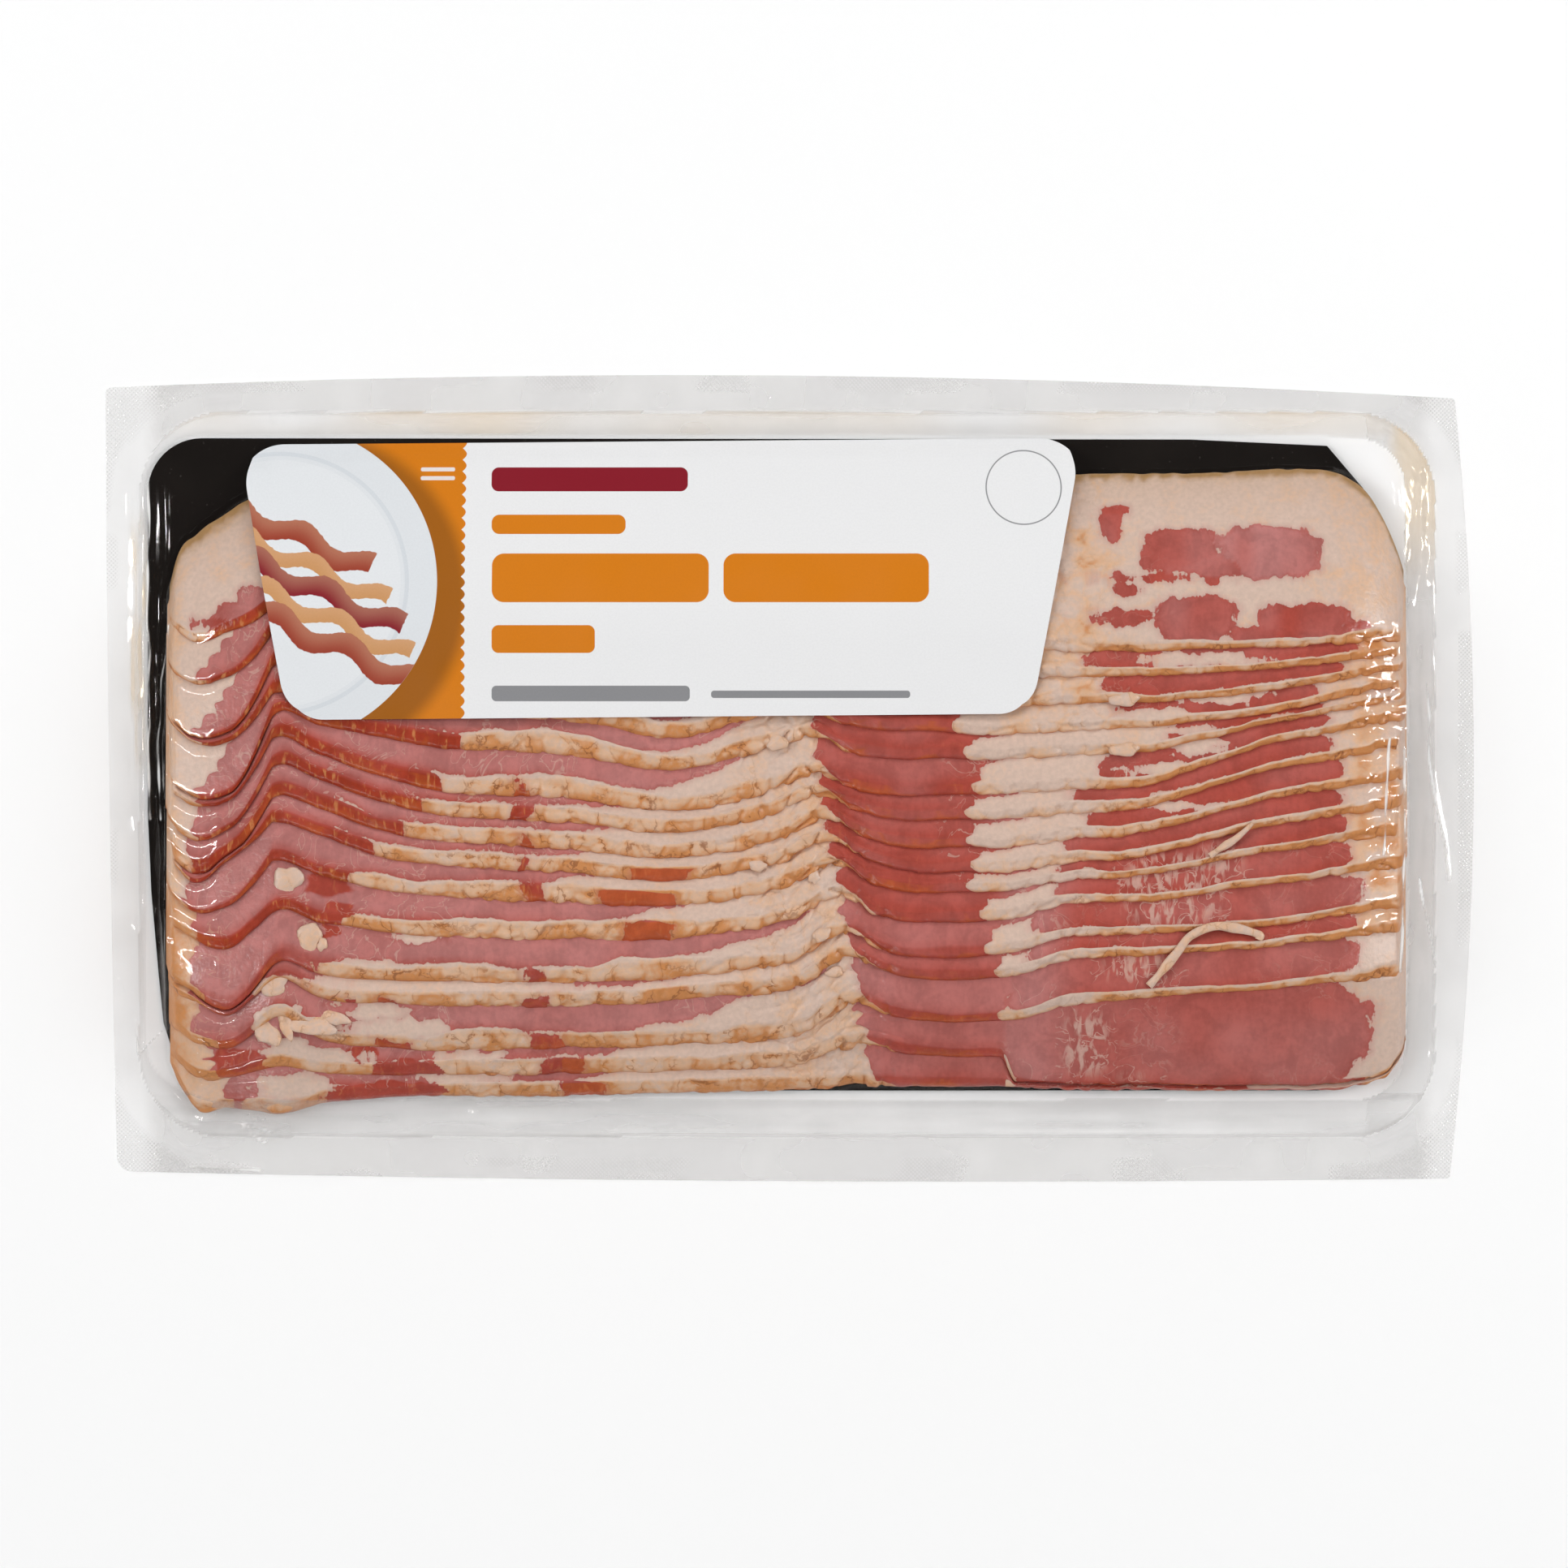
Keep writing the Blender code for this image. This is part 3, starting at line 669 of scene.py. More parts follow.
def make_bacon_group():
    """Lean and fat: their colours, how wet they look and their relief.

    Lean is in millimetres inside lean, Red runs from pale lean at 0 to raw dark lean at 2,
    Vein above 0.7 turns veins to marbling, and Gap darkens the colour with painted shade along
    each slice's lower edge.
    """
    colours = [
        ("Pale lean", (0.44, 0.14, 0.12, 1)), ("Red lean", (0.37, 0.05, 0.033, 1)),
        ("Dark lean", (0.30, 0.025, 0.013, 1)), ("Pale fat", (0.68, 0.50, 0.41, 1)),
        ("Cream fat", (0.72, 0.46, 0.28, 1)), ("Smoked fat", (0.60, 0.25, 0.09, 1)),
    ]
    inputs = [("Point", "Vector", None)]
    inputs += [(name.capitalize(), "Float", 0.0) for name in SLICE_FIELDS]
    inputs += [(name, "Color", colour) for name, colour in colours]
    outputs = [("Color", "Color"), ("Roughness", "Float"), ("Height", "Float")]
    tree, given, out = new_group("Bacon", inputs, outputs)
    shift = combined(tree, given["Slice"], given["Slice"], given["Slice"])
    point = vector(tree, "ADD", given["Point"], shift)

    nibbles = noise(tree, point, 1000.0, 2.0)
    fibres = noise(tree, stretched(tree, point, (1.0, 0.30, 0.5)), 800.0, 2.0, 0.5)
    threads = noise(tree, point, 165.0, 3.0, 0.9)
    edge = times_plus(tree, minus(tree, nibbles, 0.5), 0.9, given["Lean"])
    edge = times_plus(tree, minus(tree, fibres, 0.5), 1.3, edge)
    lean = between(tree, edge, -0.10, 0.10)
    bend = combined(tree, times(tree, threads, 0.009), times(tree, nibbles, 0.002))
    bent = vector(tree, "ADD", stretched(tree, point, (1.0, 0.5, 0.5)), bend)
    spread = {"Vector": bent, "Scale": 165.0}
    cells = add_node(tree, "ShaderNodeTexVoronoi", spread, feature="DISTANCE_TO_EDGE")
    cells = cells.outputs["Distance"]
    fatty = times(tree, given["Knobs"], minus(tree, 1.0, lean))
    crack = times(tree, between(tree, cells, 0.008, 0.035, 1.0, 0.0), between(tree, threads, 0.40, 0.52))
    crack = times(tree, crack, times(tree, fatty, between(tree, given["Side"], 0.0, 1.0, 0.45, 1.0)))
    hollow = times(tree, between(tree, cells, 0.0, 0.20, 1.0, 0.0), fatty)

    away = calc(tree, "ABSOLUTE", minus(tree, threads, 0.5))
    vein = times(tree, between(tree, away, 0.003, 0.014, 0.75, 0.0), given["Vein"])
    marbled = between(tree, given["Vein"], 0.65, 1.0)
    marble = times(tree, between(tree, fibres, 0.46, 0.62), times(tree, marbled, 0.75))
    vein = calc(tree, "MAXIMUM", vein, marble)

    reddened = times(tree, given["Red"], 1.0, clamp=True)
    meat = blend(tree, reddened, given["Pale lean"], given["Red lean"])
    raw = minus(tree, given["Red"], 1.0, clamp=True)
    meat = blend(tree, raw, meat, given["Dark lean"])
    meat = blend(tree, between(tree, edge, 0.0, 0.8, 0.35, 0.0), meat, given["Red lean"])
    rust = between(tree, given["Warm"], 0.55, 1.0, 0.0, 0.65)
    meat = blend(tree, rust, meat, RUST)
    streak = times(tree, between(tree, fibres, 0.53, 0.70), times(tree, raw, 0.75))
    meat = blend(tree, streak, meat, given["Smoked fat"])
    tone = times_plus(tree, threads, 2.5, plus(tree, nibbles, fibres))
    meat = toned(tree, meat, between(tree, tone, 1.55, 2.95, 0.86, 1.14))

    warmth = times_plus(tree, minus(tree, threads, 0.5), 0.9, given["Warm"])
    warmth = times_plus(tree, hollow, 0.35, warmth)
    warmth = times_plus(tree, minus(tree, nibbles, 0.5), 0.45, warmth, clamp=True)
    fat = blend(tree, between(tree, warmth, 0.0, 0.55), given["Pale fat"], given["Cream fat"])
    fat = blend(tree, between(tree, warmth, 0.45, 1.0), fat, given["Smoked fat"])
    fat = blend(tree, given["Rind"], fat, RIND)
    fat = blend(tree, between(tree, edge, -1.1, 0.0, 0.0, 0.30), fat, given["Pale lean"])
    fat = toned(tree, fat, between(tree, nibbles, 0.25, 0.75, 0.94, 1.05))

    colour = blend(tree, minus(tree, lean, times(tree, vein, lean)), fat, meat)
    colour = blend(tree, times(tree, crack, 0.85), colour, CRACK)
    # Painted shade: each slice's lower edge, where it meets the slice below, is darkened towards the gap
    # shade colour.
    gap = times(tree, given["Gap"], between(tree, nibbles, 0.30, 0.62, 0.45, 1.0), clamp=True)
    colour = blend(tree, gap, colour, GAP_SHADE, "MULTIPLY")
    tree.links.new(colour, out["Color"])
    plug(tree, out["Roughness"], between(tree, lean, 0.0, 1.0, 0.40, 0.28))
    relief = times_plus(tree, nibbles, 0.45, times(tree, lean, -0.30))
    relief = times_plus(tree, fibres, 0.30, relief)
    tree.links.new(relief, out["Height"])


def make_knurl_group():
    """The fine crossed ribs pressed into a heat seal."""
    inputs = [("Point", "Vector", None), ("Pitch", "Float", 0.0009)]
    tree, given, out = new_group("Knurl", inputs, [("Height", "Float")])
    parts = separated(tree, given["Point"])
    turn = calc(tree, "DIVIDE", np.pi, given["Pitch"])
    waves = []
    for sign in (1.0, -1.0):
        slant = times_plus(tree, parts[1], sign, parts[0])
        waves.append(calc(tree, "ABSOLUTE", calc(tree, "SINE", times(tree, slant, turn))))
    tree.links.new(times(tree, *waves), out["Height"])


def within(tree, past, blur=PRINT_BLUR):
    """1 where a distance past a printed edge is below zero, with a slightly soft edge."""
    return between(tree, past, -blur, blur, 1.0, 0.0)


def make_bar_group():
    """A bar with round corners, 1 inside it."""
    inputs = [(name, "Vector", None) for name in ("Point", "Centre", "Half size")]
    inputs.append(("Corner", "Float", 0.0))
    tree, given, out = new_group("Bar", inputs, [("Mask", "Float")])
    moved = vector(tree, "ABSOLUTE", vector(tree, "SUBTRACT", given["Point"], given["Centre"]))
    parts = separated(tree, vector(tree, "SUBTRACT", moved, given["Half size"]))
    across, along = (plus(tree, parts[i], given["Corner"]) for i in (0, 1))
    far = [calc(tree, "MAXIMUM", v, 0.0) for v in (across, along)]
    squares = plus(tree, calc(tree, "POWER", far[0], 2.0), calc(tree, "POWER", far[1], 2.0))
    inner = calc(tree, "MINIMUM", calc(tree, "MAXIMUM", across, along), 0.0)
    past = minus(tree, plus(tree, calc(tree, "SQRT", squares), inner), given["Corner"])
    tree.links.new(within(tree, past), out["Mask"])


def make_ring_group():
    """A ring about a centre, 1 on its line and 0 away from it."""
    inputs = [("Point", "Vector", None), ("Centre", "Vector", None)]
    inputs += [("Radius", "Float", 0.003), ("Line", "Float", 0.0003)]
    tree, given, out = new_group("Ring", inputs, [("Mask", "Float"), ("Disc", "Float")])
    flat = stretched(tree, given["Point"], (1.0, 1.0, 0.0))
    past = minus(tree, distance(tree, flat, given["Centre"]), given["Radius"])
    off_line = minus(tree, calc(tree, "ABSOLUTE", past), given["Line"])
    tree.links.new(between(tree, off_line, -0.00005, 0.0001, 1.0, 0.0), out["Mask"])
    tree.links.new(within(tree, past), out["Disc"])


def make_ribbon_group():
    """A wavy strip, 1 inside it, with the place across it from -1 to 1."""
    inputs = [
        ("Point", "Vector", None), ("Centre", "Vector", None), ("Turn", "Float", 0.5),
        ("Half length", "Float", 0.02), ("Half width", "Float", 0.004),
        ("Wave", "Float", 0.0015), ("Wave length", "Float", 0.017),
    ]
    tree, given, out = new_group("Ribbon", inputs, [("Mask", "Float"), ("Across", "Float")])
    inputs = {"Vector": vector(tree, "SUBTRACT", given["Point"], given["Centre"]), "Angle": given["Turn"]}
    turned = add_node(tree, "ShaderNodeVectorRotate", inputs, rotation_type="Z_AXIS").outputs[0]
    parts = separated(tree, turned)
    swing = calc(tree, "SINE", times(tree, calc(tree, "DIVIDE", parts[0], given["Wave length"]), 2 * np.pi))
    across = times_plus(tree, times(tree, swing, given["Wave"]), -1.0, parts[1])
    ruffle = times(tree, noise(tree, given["Point"], 700.0, 1.0), 0.0007)
    past_side = minus(tree, plus(tree, calc(tree, "ABSOLUTE", across), ruffle), given["Half width"])
    past_end = minus(tree, plus(tree, calc(tree, "ABSOLUTE", parts[0]), ruffle), given["Half length"])
    tree.links.new(within(tree, calc(tree, "MAXIMUM", past_side, past_end), 0.0001), out["Mask"])
    tree.links.new(calc(tree, "DIVIDE", across, given["Half width"]), out["Across"])


def make_groups():
    """Builds every node group once."""
    make_mottle_group()
    make_bacon_group()
    make_knurl_group()
    make_bar_group()
    make_ring_group()
    make_ribbon_group()


class SliceSettings(bpy.types.PropertyGroup):
    """Sizes and colours of the sliced bacon."""

    slice_thickness: FloatProperty(
        name="Slice Thickness", description="Thickness of one slice", default=0.0026, unit="LENGTH"
    )
    stack_height: FloatProperty(
        name="Stack Height", description="Height of the stack above the board", default=0.0160, unit="LENGTH"
    )
    side_width: FloatProperty(
        name="Side Width", description="How wide a slice's cut side shows from above",
        default=0.0036, unit="LENGTH",
    )
    step_height: FloatProperty(
        name="Step Height", description="Drop from one slice's edge to the slice below",
        default=0.0015, unit="LENGTH",
    )
    slice_width: FloatProperty(
        name="Slice Width", description="Width of one slice", default=0.039, unit="LENGTH"
    )
    board_level: FloatProperty(
        name="Board Level", description="Height at which the slices lie on the board",
        default=0.0017, unit="LENGTH",
    )
    pale_lean: FloatVectorProperty(
        name="Pale Lean", description="Colour of lean on a cut face",
        subtype="COLOR", size=4, default=(0.48, 0.182, 0.168, 1),
    )
    red_lean: FloatVectorProperty(
        name="Red Lean", description="Colour of lean near an edge",
        subtype="COLOR", size=4, default=(0.40, 0.068, 0.048, 1),
    )
    dark_lean: FloatVectorProperty(
        name="Dark Lean", description="Colour of lean along a cut side",
        subtype="COLOR", size=4, default=(0.36, 0.040, 0.015, 1),
    )
    pale_fat: FloatVectorProperty(
        name="Pale Fat", description="Colour of fat on a cut face",
        subtype="COLOR", size=4, default=(0.67, 0.495, 0.405, 1),
    )
    cream_fat: FloatVectorProperty(
        name="Cream Fat", description="Colour of fat along a cut side",
        subtype="COLOR", size=4, default=(0.71, 0.445, 0.285, 1),
    )
    smoked_fat: FloatVectorProperty(
        name="Smoked Fat", description="Colour of fat near the smoked skin",
        subtype="COLOR", size=4, default=(0.60, 0.25, 0.085, 1),
    )


class BoardSettings(bpy.types.PropertyGroup):
    """Sizes and colour of the backing board."""

    thickness: FloatProperty(
        name="Thickness", description="Thickness of the board", default=0.0008, unit="LENGTH"
    )
    level: FloatProperty(name="Level", description="Height of its underside", default=0.0004, unit="LENGTH")
    colour: FloatVectorProperty(
        name="Colour", description="Colour of the board",
        subtype="COLOR", size=4, default=(0.006, 0.004, 0.003, 1),
    )


class FilmSettings(bpy.types.PropertyGroup):
    """Sizes and colour of the sealed film."""

    rim_thickness: FloatProperty(
        name="Rim Thickness", description="Thickness of the sealed rim", default=0.0005, unit="LENGTH"
    )
    clearance: FloatProperty(
        name="Clearance", description="Gap between the film and what it covers",
        default=0.00022, unit="LENGTH",
    )
    knurl_pitch: FloatProperty(
        name="Knurl Pitch", description="Distance between the seal's ribs", default=0.0009, unit="LENGTH"
    )
    # Partly the film's milky colour and partly painted shade: its grey stands in for the shadow that the
    # film, which casts none, would throw on the floor.
    haze_and_shade: FloatVectorProperty(
        name="Haze", description="Colour of the film's haze",
        subtype="COLOR", size=4, default=(0.47, 0.455, 0.445, 1),
    )


class LabelSettings(bpy.types.PropertyGroup):
    """Sizes and colours of the label."""

    thickness: FloatProperty(
        name="Thickness", description="Thickness of the paper", default=0.00022, unit="LENGTH"
    )
    paper: FloatVectorProperty(
        name="Paper", description="Colour of the bare paper",
        subtype="COLOR", size=4, default=(0.835, 0.835, 0.84, 1),
    )
    orange: FloatVectorProperty(
        name="Orange", description="Colour of the band and wide bars",
        subtype="COLOR", size=4, default=(0.67, 0.20, 0.005, 1),
    )
    maroon: FloatVectorProperty(
        name="Maroon", description="Colour of the top bar",
        subtype="COLOR", size=4, default=(0.24, 0.007, 0.018, 1),
    )
    grey: FloatVectorProperty(
        name="Grey", description="Colour of the narrow bars",
        subtype="COLOR", size=4, default=(0.26, 0.26, 0.27, 1),
    )


class StageSettings(bpy.types.PropertyGroup):
    """The floor, the lights and the camera."""

    camera_height: FloatProperty(
        name="Camera Height", description="Camera's height above the floor", default=2.0, unit="LENGTH"
    )
    side_power: FloatProperty(
        name="Side Light", description="Power of each large side light", default=12.2, unit="POWER"
    )
    glint_power: FloatProperty(
        name="Glint Light", description="Power of the lights that only gloss mirrors",
        default=16.0, unit="POWER",
    )
    floor: FloatVectorProperty(
        name="Floor", description="Colour of the floor",
        subtype="COLOR", size=4, default=(0.985, 0.985, 0.985, 1),
    )


def lean_pattern(number, x, y, into, shows, side, lumps):
    """What a slice is made of at each of its points, from the place along and across it."""
    at, deep, wide, rim = x / MM, into / MM, shows / MM, side / MM
    on_side = 1 - ramp(deep, 0.80 * rim, 1.15 * rim)
    face = deep - rim
    drift = 0.55 * grain(at, deep + 9.0 * number, 6.0, 71) + 0.25 * grain(at, deep + 5.0 * number, 2.5, 72)

    # The left end: fat that the lean runs out into, further on the slices laid last.
    slope = np.interp(number, (0, 1, 3, 5, 7, 15), (2.2, 1.1, 0.85, 0.75, 0.2, 0.15))
    start = np.interp(number, (0, 5, 9, 15), (-133.0, -132.4, -134.0, -131.0))
    steep = np.hypot(1, slope)
    run = (slope * at + deep) / steep
    lobes = np.abs(np.sin(np.pi * (run + 1.6 * grain(run, 0 * run + 3.0 * number, 5.0, 70)) / 3.7))
    scallops = steep * (1.6 * lobes * (0.7 + 0.5 * grain(run, 0 * run + number, 6.0, 69)) - 0.8)
    left = at - start - slope * deep + 1.2 * drift + scallops
    side_start = at - (start + np.interp(number, (0, 4, 9, 15), (5.0, 3.0, 2.0, 8.0)))

    # Faces: lean up to a rim of fat that widens to the right until it closes.
    closing = np.interp(number, (0, 4, 6, 9, 11, 15), (0.0, -1.0, -18.0, -26.0, 4.0, -20.0))
    rim_width = 0.42 + 7.0 * ramp(at, closing - 34.0, closing + 12.0)
    main = np.minimum(np.minimum(left, closing + 16.0 - at), 0.9 * (face - rim_width))
    main = np.where(at < -75.0, np.maximum(main, np.minimum(left, 1.0) * (at < -100.0)), main)

    # The lean band: a lens from fat to fat across every slice.
    low_tip = np.clip(1 - deep / np.clip(0.75 * wide, 2.5, 6.0), 0, 1) ** 1.6
    band_start = 4.2 + notch_shift(number) + 3.0 * low_tip + 5.5 * bell(deep, 1.1)
    band_start = band_start + 1.6 * grain(at * 0.3, deep + 8.0 * number, 1.7, 66)
    band_end = of_slice(LEAN_BAND_ENDS, number)
    tip = 2.0 * (2.0 * np.clip(deep / (1.4 * rim), 0, 1) - 1.0) ** 2
    band = np.minimum(0.8 * (at - band_start), band_end + tip - at)

    # The wedges of lean between the fingers of fat on its right.
    wedge_end = band_end + np.interp(number, (0, 5, 7, 9, 10, 15), (10.0, 10.0, 13.0, 15.0, 22.0, 18.0))
    thick = (wide - rim) * (0.62 + 0.38 * ramp(at, band_end - 1.0, wedge_end))
    thick = np.clip(thick, 0.0, 3.2 + 4.0 * ramp(at, band_end, wedge_end))
    finger = 0.1 + thick * round_over((at - band_end + 2.5) / 2.5)
    wedge = np.minimum(np.minimum(face - finger, at - band_start), wedge_end - at)

    # The right end: lean faces between smoked sides.
    right_start, right_end = of_slice(RIGHT_LEAN_STARTS, number), of_slice(RIGHT_LEAN_ENDS, number)
    right_end = right_end + 2.0 * grain(np.array(number * 3.3), np.array(0.0), 1.0, 73)
    middle = (wide - rim) / 2
    taper = np.minimum(at - right_start, right_end - at)
    right = np.minimum(0.45 * taper, face - 0.10)
    right = np.minimum(right, 0.32 * taper - 0.5 * np.abs(face - middle) + 0.25 * middle)

    on_face = np.maximum(np.maximum(main, np.maximum(band, wedge)), right) + drift
    if number == SLICES - 2:
        on_face = np.maximum(on_face, oval_face(at, deep, wide))
    red_lobe = np.full_like(at, 0.45)
    if number == 0:
        on_face, red_lobe = top_lobes(x, y)
    bent_x = x + 1.0 * MM * grain(at, y / MM, 2.6, 61) + 1.6 * MM * grain(0.25 * at, y / MM, 1.0, 63)
    bent_y = y + 0.8 * MM * grain(at, y / MM, 2.2, 62)
    raw_spot = np.zeros_like(at)
    for spot in rows_of(LEAN_SPOTS, number):
        inside = spot_field(bent_x, bent_y, spot) + 0.5 * drift
        on_face = np.maximum(on_face, inside)
        raw_spot = np.maximum(raw_spot, ramp(inside, -0.2, 0.4))
    side_end = of_slice(SIDE_LEAN_ENDS, number)
    lean_side = np.maximum(np.minimum(side_start, side_end - at), band)
    slant = at + 0.4 * (deep - rim / 2) * (1 if number % 2 else -1)
    for low, high in rows_of(SIDE_PATCHES, number):
        lean_side = np.maximum(lean_side, 0.55 * np.minimum(slant - low, high - slant) + 0.3)
    if number >= SLICES - 2:
        lean_side = np.where(at > 48.0, np.minimum(at - 50.0, 127.0 - at), lean_side)
    lean_side = lean_side + 1.2 * drift
    lean_side = np.where(raw_spot > 0, np.maximum(lean_side, raw_spot), lean_side)
    lean = on_side * lean_side + (1 - on_side) * on_face
    for spot in rows_of(FAT_SPOTS, number):
        lean = np.minimum(lean, drift - spot_field(bent_x, bent_y, spot))
    lean = np.clip(lean, -4.0, 4.0)

    in_band = ramp(at, band_start - 4, band_start + 1) * (1 - ramp(at, band_end + 2, band_end + 10))
    far_right = ramp(at, 52.0, 66.0)
    near_side = bell(np.maximum(face, 0), 1.6)
    crowded = 1 - ramp(wide, 6.0, 11.0)
    cloud = grain(at, deep + 7.0 * number, 9.0, 74)
    left_red = (0.52 - 0.26 * (1 - ramp(at, -122.0, -106.0))) * near_side * (1 - ramp(at, -80.0, -40.0))
    red = 0.02 + left_red + 0.22 * near_side + 0.18 * cloud
    red = red + in_band * (0.40 + 0.42 * crowded - 0.35 * (number > 10)) + far_right * (0.55 + 0.25 * crowded)
    side_red = 1.0 + 0.9 * (1 - ramp(at, -75.0, -40.0)) * (number < 11) + 0.45 * cloud
    side_red = np.where(in_band > 0.5, 0.95 + 0.3 * cloud, side_red)
    red = red * (1 - on_side) + on_side * side_red
    red = np.maximum(red, SPOT_REDS.get(number, 0.0) * raw_spot)
    if number == 0:
        red = np.where(on_side > 0.5, red, red_lobe)

    fingers = ramp(at, band_end - 4, band_end + 3) * (1 - ramp(at, 58.0, 74.0))
    blotch = grain(at, deep + 11.0 * number, 5.0, 75)
    warm_side = 0.49 + 0.20 * ramp(at, 66.0, 92.0) - 0.44 * fingers + 0.36 * blotch
    for low, high in rows_of(SIDE_PATCHES, number):
        away = np.maximum(np.maximum(low - at, at - high), 0)
        warm_side = warm_side + 0.9 * bell(away, 1.6) * (at > -50.0)
    warm_side = warm_side + 0.25 * (1 - ramp(deep / np.maximum(rim, 0.1), 0.1, 0.6))
    warm_face = 0.02 + 0.16 * ramp(at, -14.0, 2.0) * (1 - ramp(at, 16.0, 30.0)) + 0.12 * blotch
    warm_face = warm_face + 0.20 * ramp(at, 110.0, 125.0) * (number < SLICES - 3)
    warm = on_side * warm_side + (1 - on_side) * warm_face
    knobbly = knobbly_top(number, at)
    warm = warm + 0.40 * (1 - ramp(at, -137.0, -132.0)) + knobbly * (0.16 + 0.3 * blotch)
    warm = warm + 0.55 * (1 - ramp(at, -135.0, -118.0)) * (number > 9)
    burnt = ramp(at, 118.0, 129.0) * (0 < number < SLICES - 3)
    warm = warm + burnt * np.where(on_side > 0.5, 0.32, 0.18 + 0.6 * grain(at, deep + 13.0 * number, 3.4, 79))
    press = 1 - ramp(lumps, 0.0, 0.30)
    warm = warm + 0.20 * press * np.maximum(on_side, knobbly)

    veined = grain(at, deep + 3.0 * number, 13.0, 76) + 0.35 * (at < -82.0)
    vein = 0.64 * ramp(veined, 0.05, 0.45) * (1 - on_side) * (1 - 0.6 * far_right)
    for spot in MARBLING if number >= FIRST_MARBLED else ():
        inside = spot_field(x, y, spot)
        vein = np.maximum(vein, np.clip(0.6 + 0.10 * inside, 0, 1) * (inside > 0))
    broken = 0.62 + 0.38 * grain(at, deep + 6.0 * number, 4.0, 78)
    knobs = np.maximum(on_side * (1 - 0.8 * fingers), 0.30 * knobbly) * broken
    knobs = np.maximum(knobs, 0.45 * ramp(at, -16.0, -6.0) * (1 - ramp(at, 14.0, 18.0)) * broken)
    # Where shade is painted along the slice's lower edge, where it meets the slice below.
    gap = bell(deep, 0.20) * (0.6 + 0.4 * grain(at, 0 * at + number, 3.0, 77))
    hidden = deep > wide + 0.3
    lean, warm, red = np.where(hidden, -3.0, lean), np.where(hidden, 0.5, warm), np.where(hidden, 0.3, red)
    return {"lean": lean, "side": on_side, "red": red, "warm": warm, "gap": gap, "knobs": knobs, "vein": vein}


def knobbly_top(number, at):
    """Where the faces of the slices laid last are knobbly fat, from 0 to 1."""
    return ramp(at, 46, 54) * (1 - ramp(at, 68, 78)) * (number < 4)


def knobbly_face(number, at, moved):
    """Where a slice's fat face is knobbly too, from 0 to 1."""
    return np.maximum(0.4 * knobbly_top(number, at), 0.7 * ramp(moved, -22, -8) * (1 - ramp(moved, 12, 18)))


def oval_face(at, deep, wide):
    """The one long lean muscle that fills the face shown at the lower right."""
    left, middle, centre, half_x, half_y = 48.0, 106.0, 10.5, 21.4, 12.5
    power = np.hypot(np.maximum(at - middle, 0) / half_x, (deep - centre) / half_y)
    nose = np.where(at > middle, (1 - power) * half_y, 4.0)
    return np.minimum(np.minimum(at - left, nose), np.minimum(deep + 2.0, wide + 4.0 - deep))


def top_lobes(x, y):
    """The lean lobes scattered in the fat face of the slice laid last, and how red each is."""
    at, up = x / MM, y / MM
    field, red = np.full_like(at, -4.0), np.full_like(at, 0.4)
    scallops = 0.9 * np.abs(grain(at, 0 * at, 3.0, 81)) - 0.4 + 0.3 * grain(at, up, 1.8, 82)
    bent_x, bent_y = x + 0.9 * MM * grain(at, up, 2.9, 84), y + 0.5 * MM * grain(at, up, 2.4, 85)
    for lobe in TOP_LOBES:
        inside = spot_field(bent_x, bent_y, lobe[:4]) * 0.9 + scallops
        red = np.where(inside > field, lobe[4], red)
        field = np.maximum(field, inside)
    return field, red + 0.35 * grain(at, up * 0.4, 5.0, 83)


# Points of a slice: its stations along, the rows up its cut side as shares of it, across its face,
# and back underneath.
STATIONS = 640
SIDE_SHARES_UP = (0.0, 0.03, 0.08, 0.16, 0.28, 0.42, 0.60, 0.80, 1.0)
FACE_STEP, FACE_ROWS = 0.62 * MM, (6, 56)
UNDER_ROWS = 5


def slice_loops(number, x, settings):
    """The closed loops of points round one slice, one for each station along it."""
    edges = slice_edges(x)
    edge = edges[number]
    rind = rind_line(x)
    above = edges[number - 1] if number else rind
    shows = above - edge
    side = side_width(number, x, shows, settings)
    end = above
    if number:
        end = np.maximum(np.minimum(edge + settings.slice_width, rind - 2.5 * MM), above + 0.5 * MM)
    ys, zs = [], []
    for share in SIDE_SHARES_UP:
        y = edge + side * share
        ys.append(y)
        zs.append(stack_height(x, y, settings) - settings.step_height * (1 - side_rise(share)))
    face_rows = int(np.clip((shows - side).max() / FACE_STEP, *FACE_ROWS))
    for share in np.linspace(0.0, 1.0, face_rows + 1)[1:]:
        y = edge + side + (shows - side) * share
        fall = settings.step_height * share if number else 0.0
        ys.append(y)
        zs.append(stack_height(x, y, settings) - fall)
    if number:
        last_z = zs[-1]
        for share in (0.33, 0.66, 1.0):
            ys.append(above + (end - above) * share)
            zs.append(last_z + (settings.board_level + settings.slice_thickness * 0.7 - last_z) * share)
    foot = zs[0]
    for share in np.linspace(0.0, 1.0, UNDER_ROWS + 1)[:-1]:
        ys.append(end + (edge + 0.3 * MM - end) * share)
        zs.append(settings.board_level + (foot - 0.25 * MM - settings.board_level) * share**1.2)
    return np.array(ys), np.array(zs), edge, shows, side


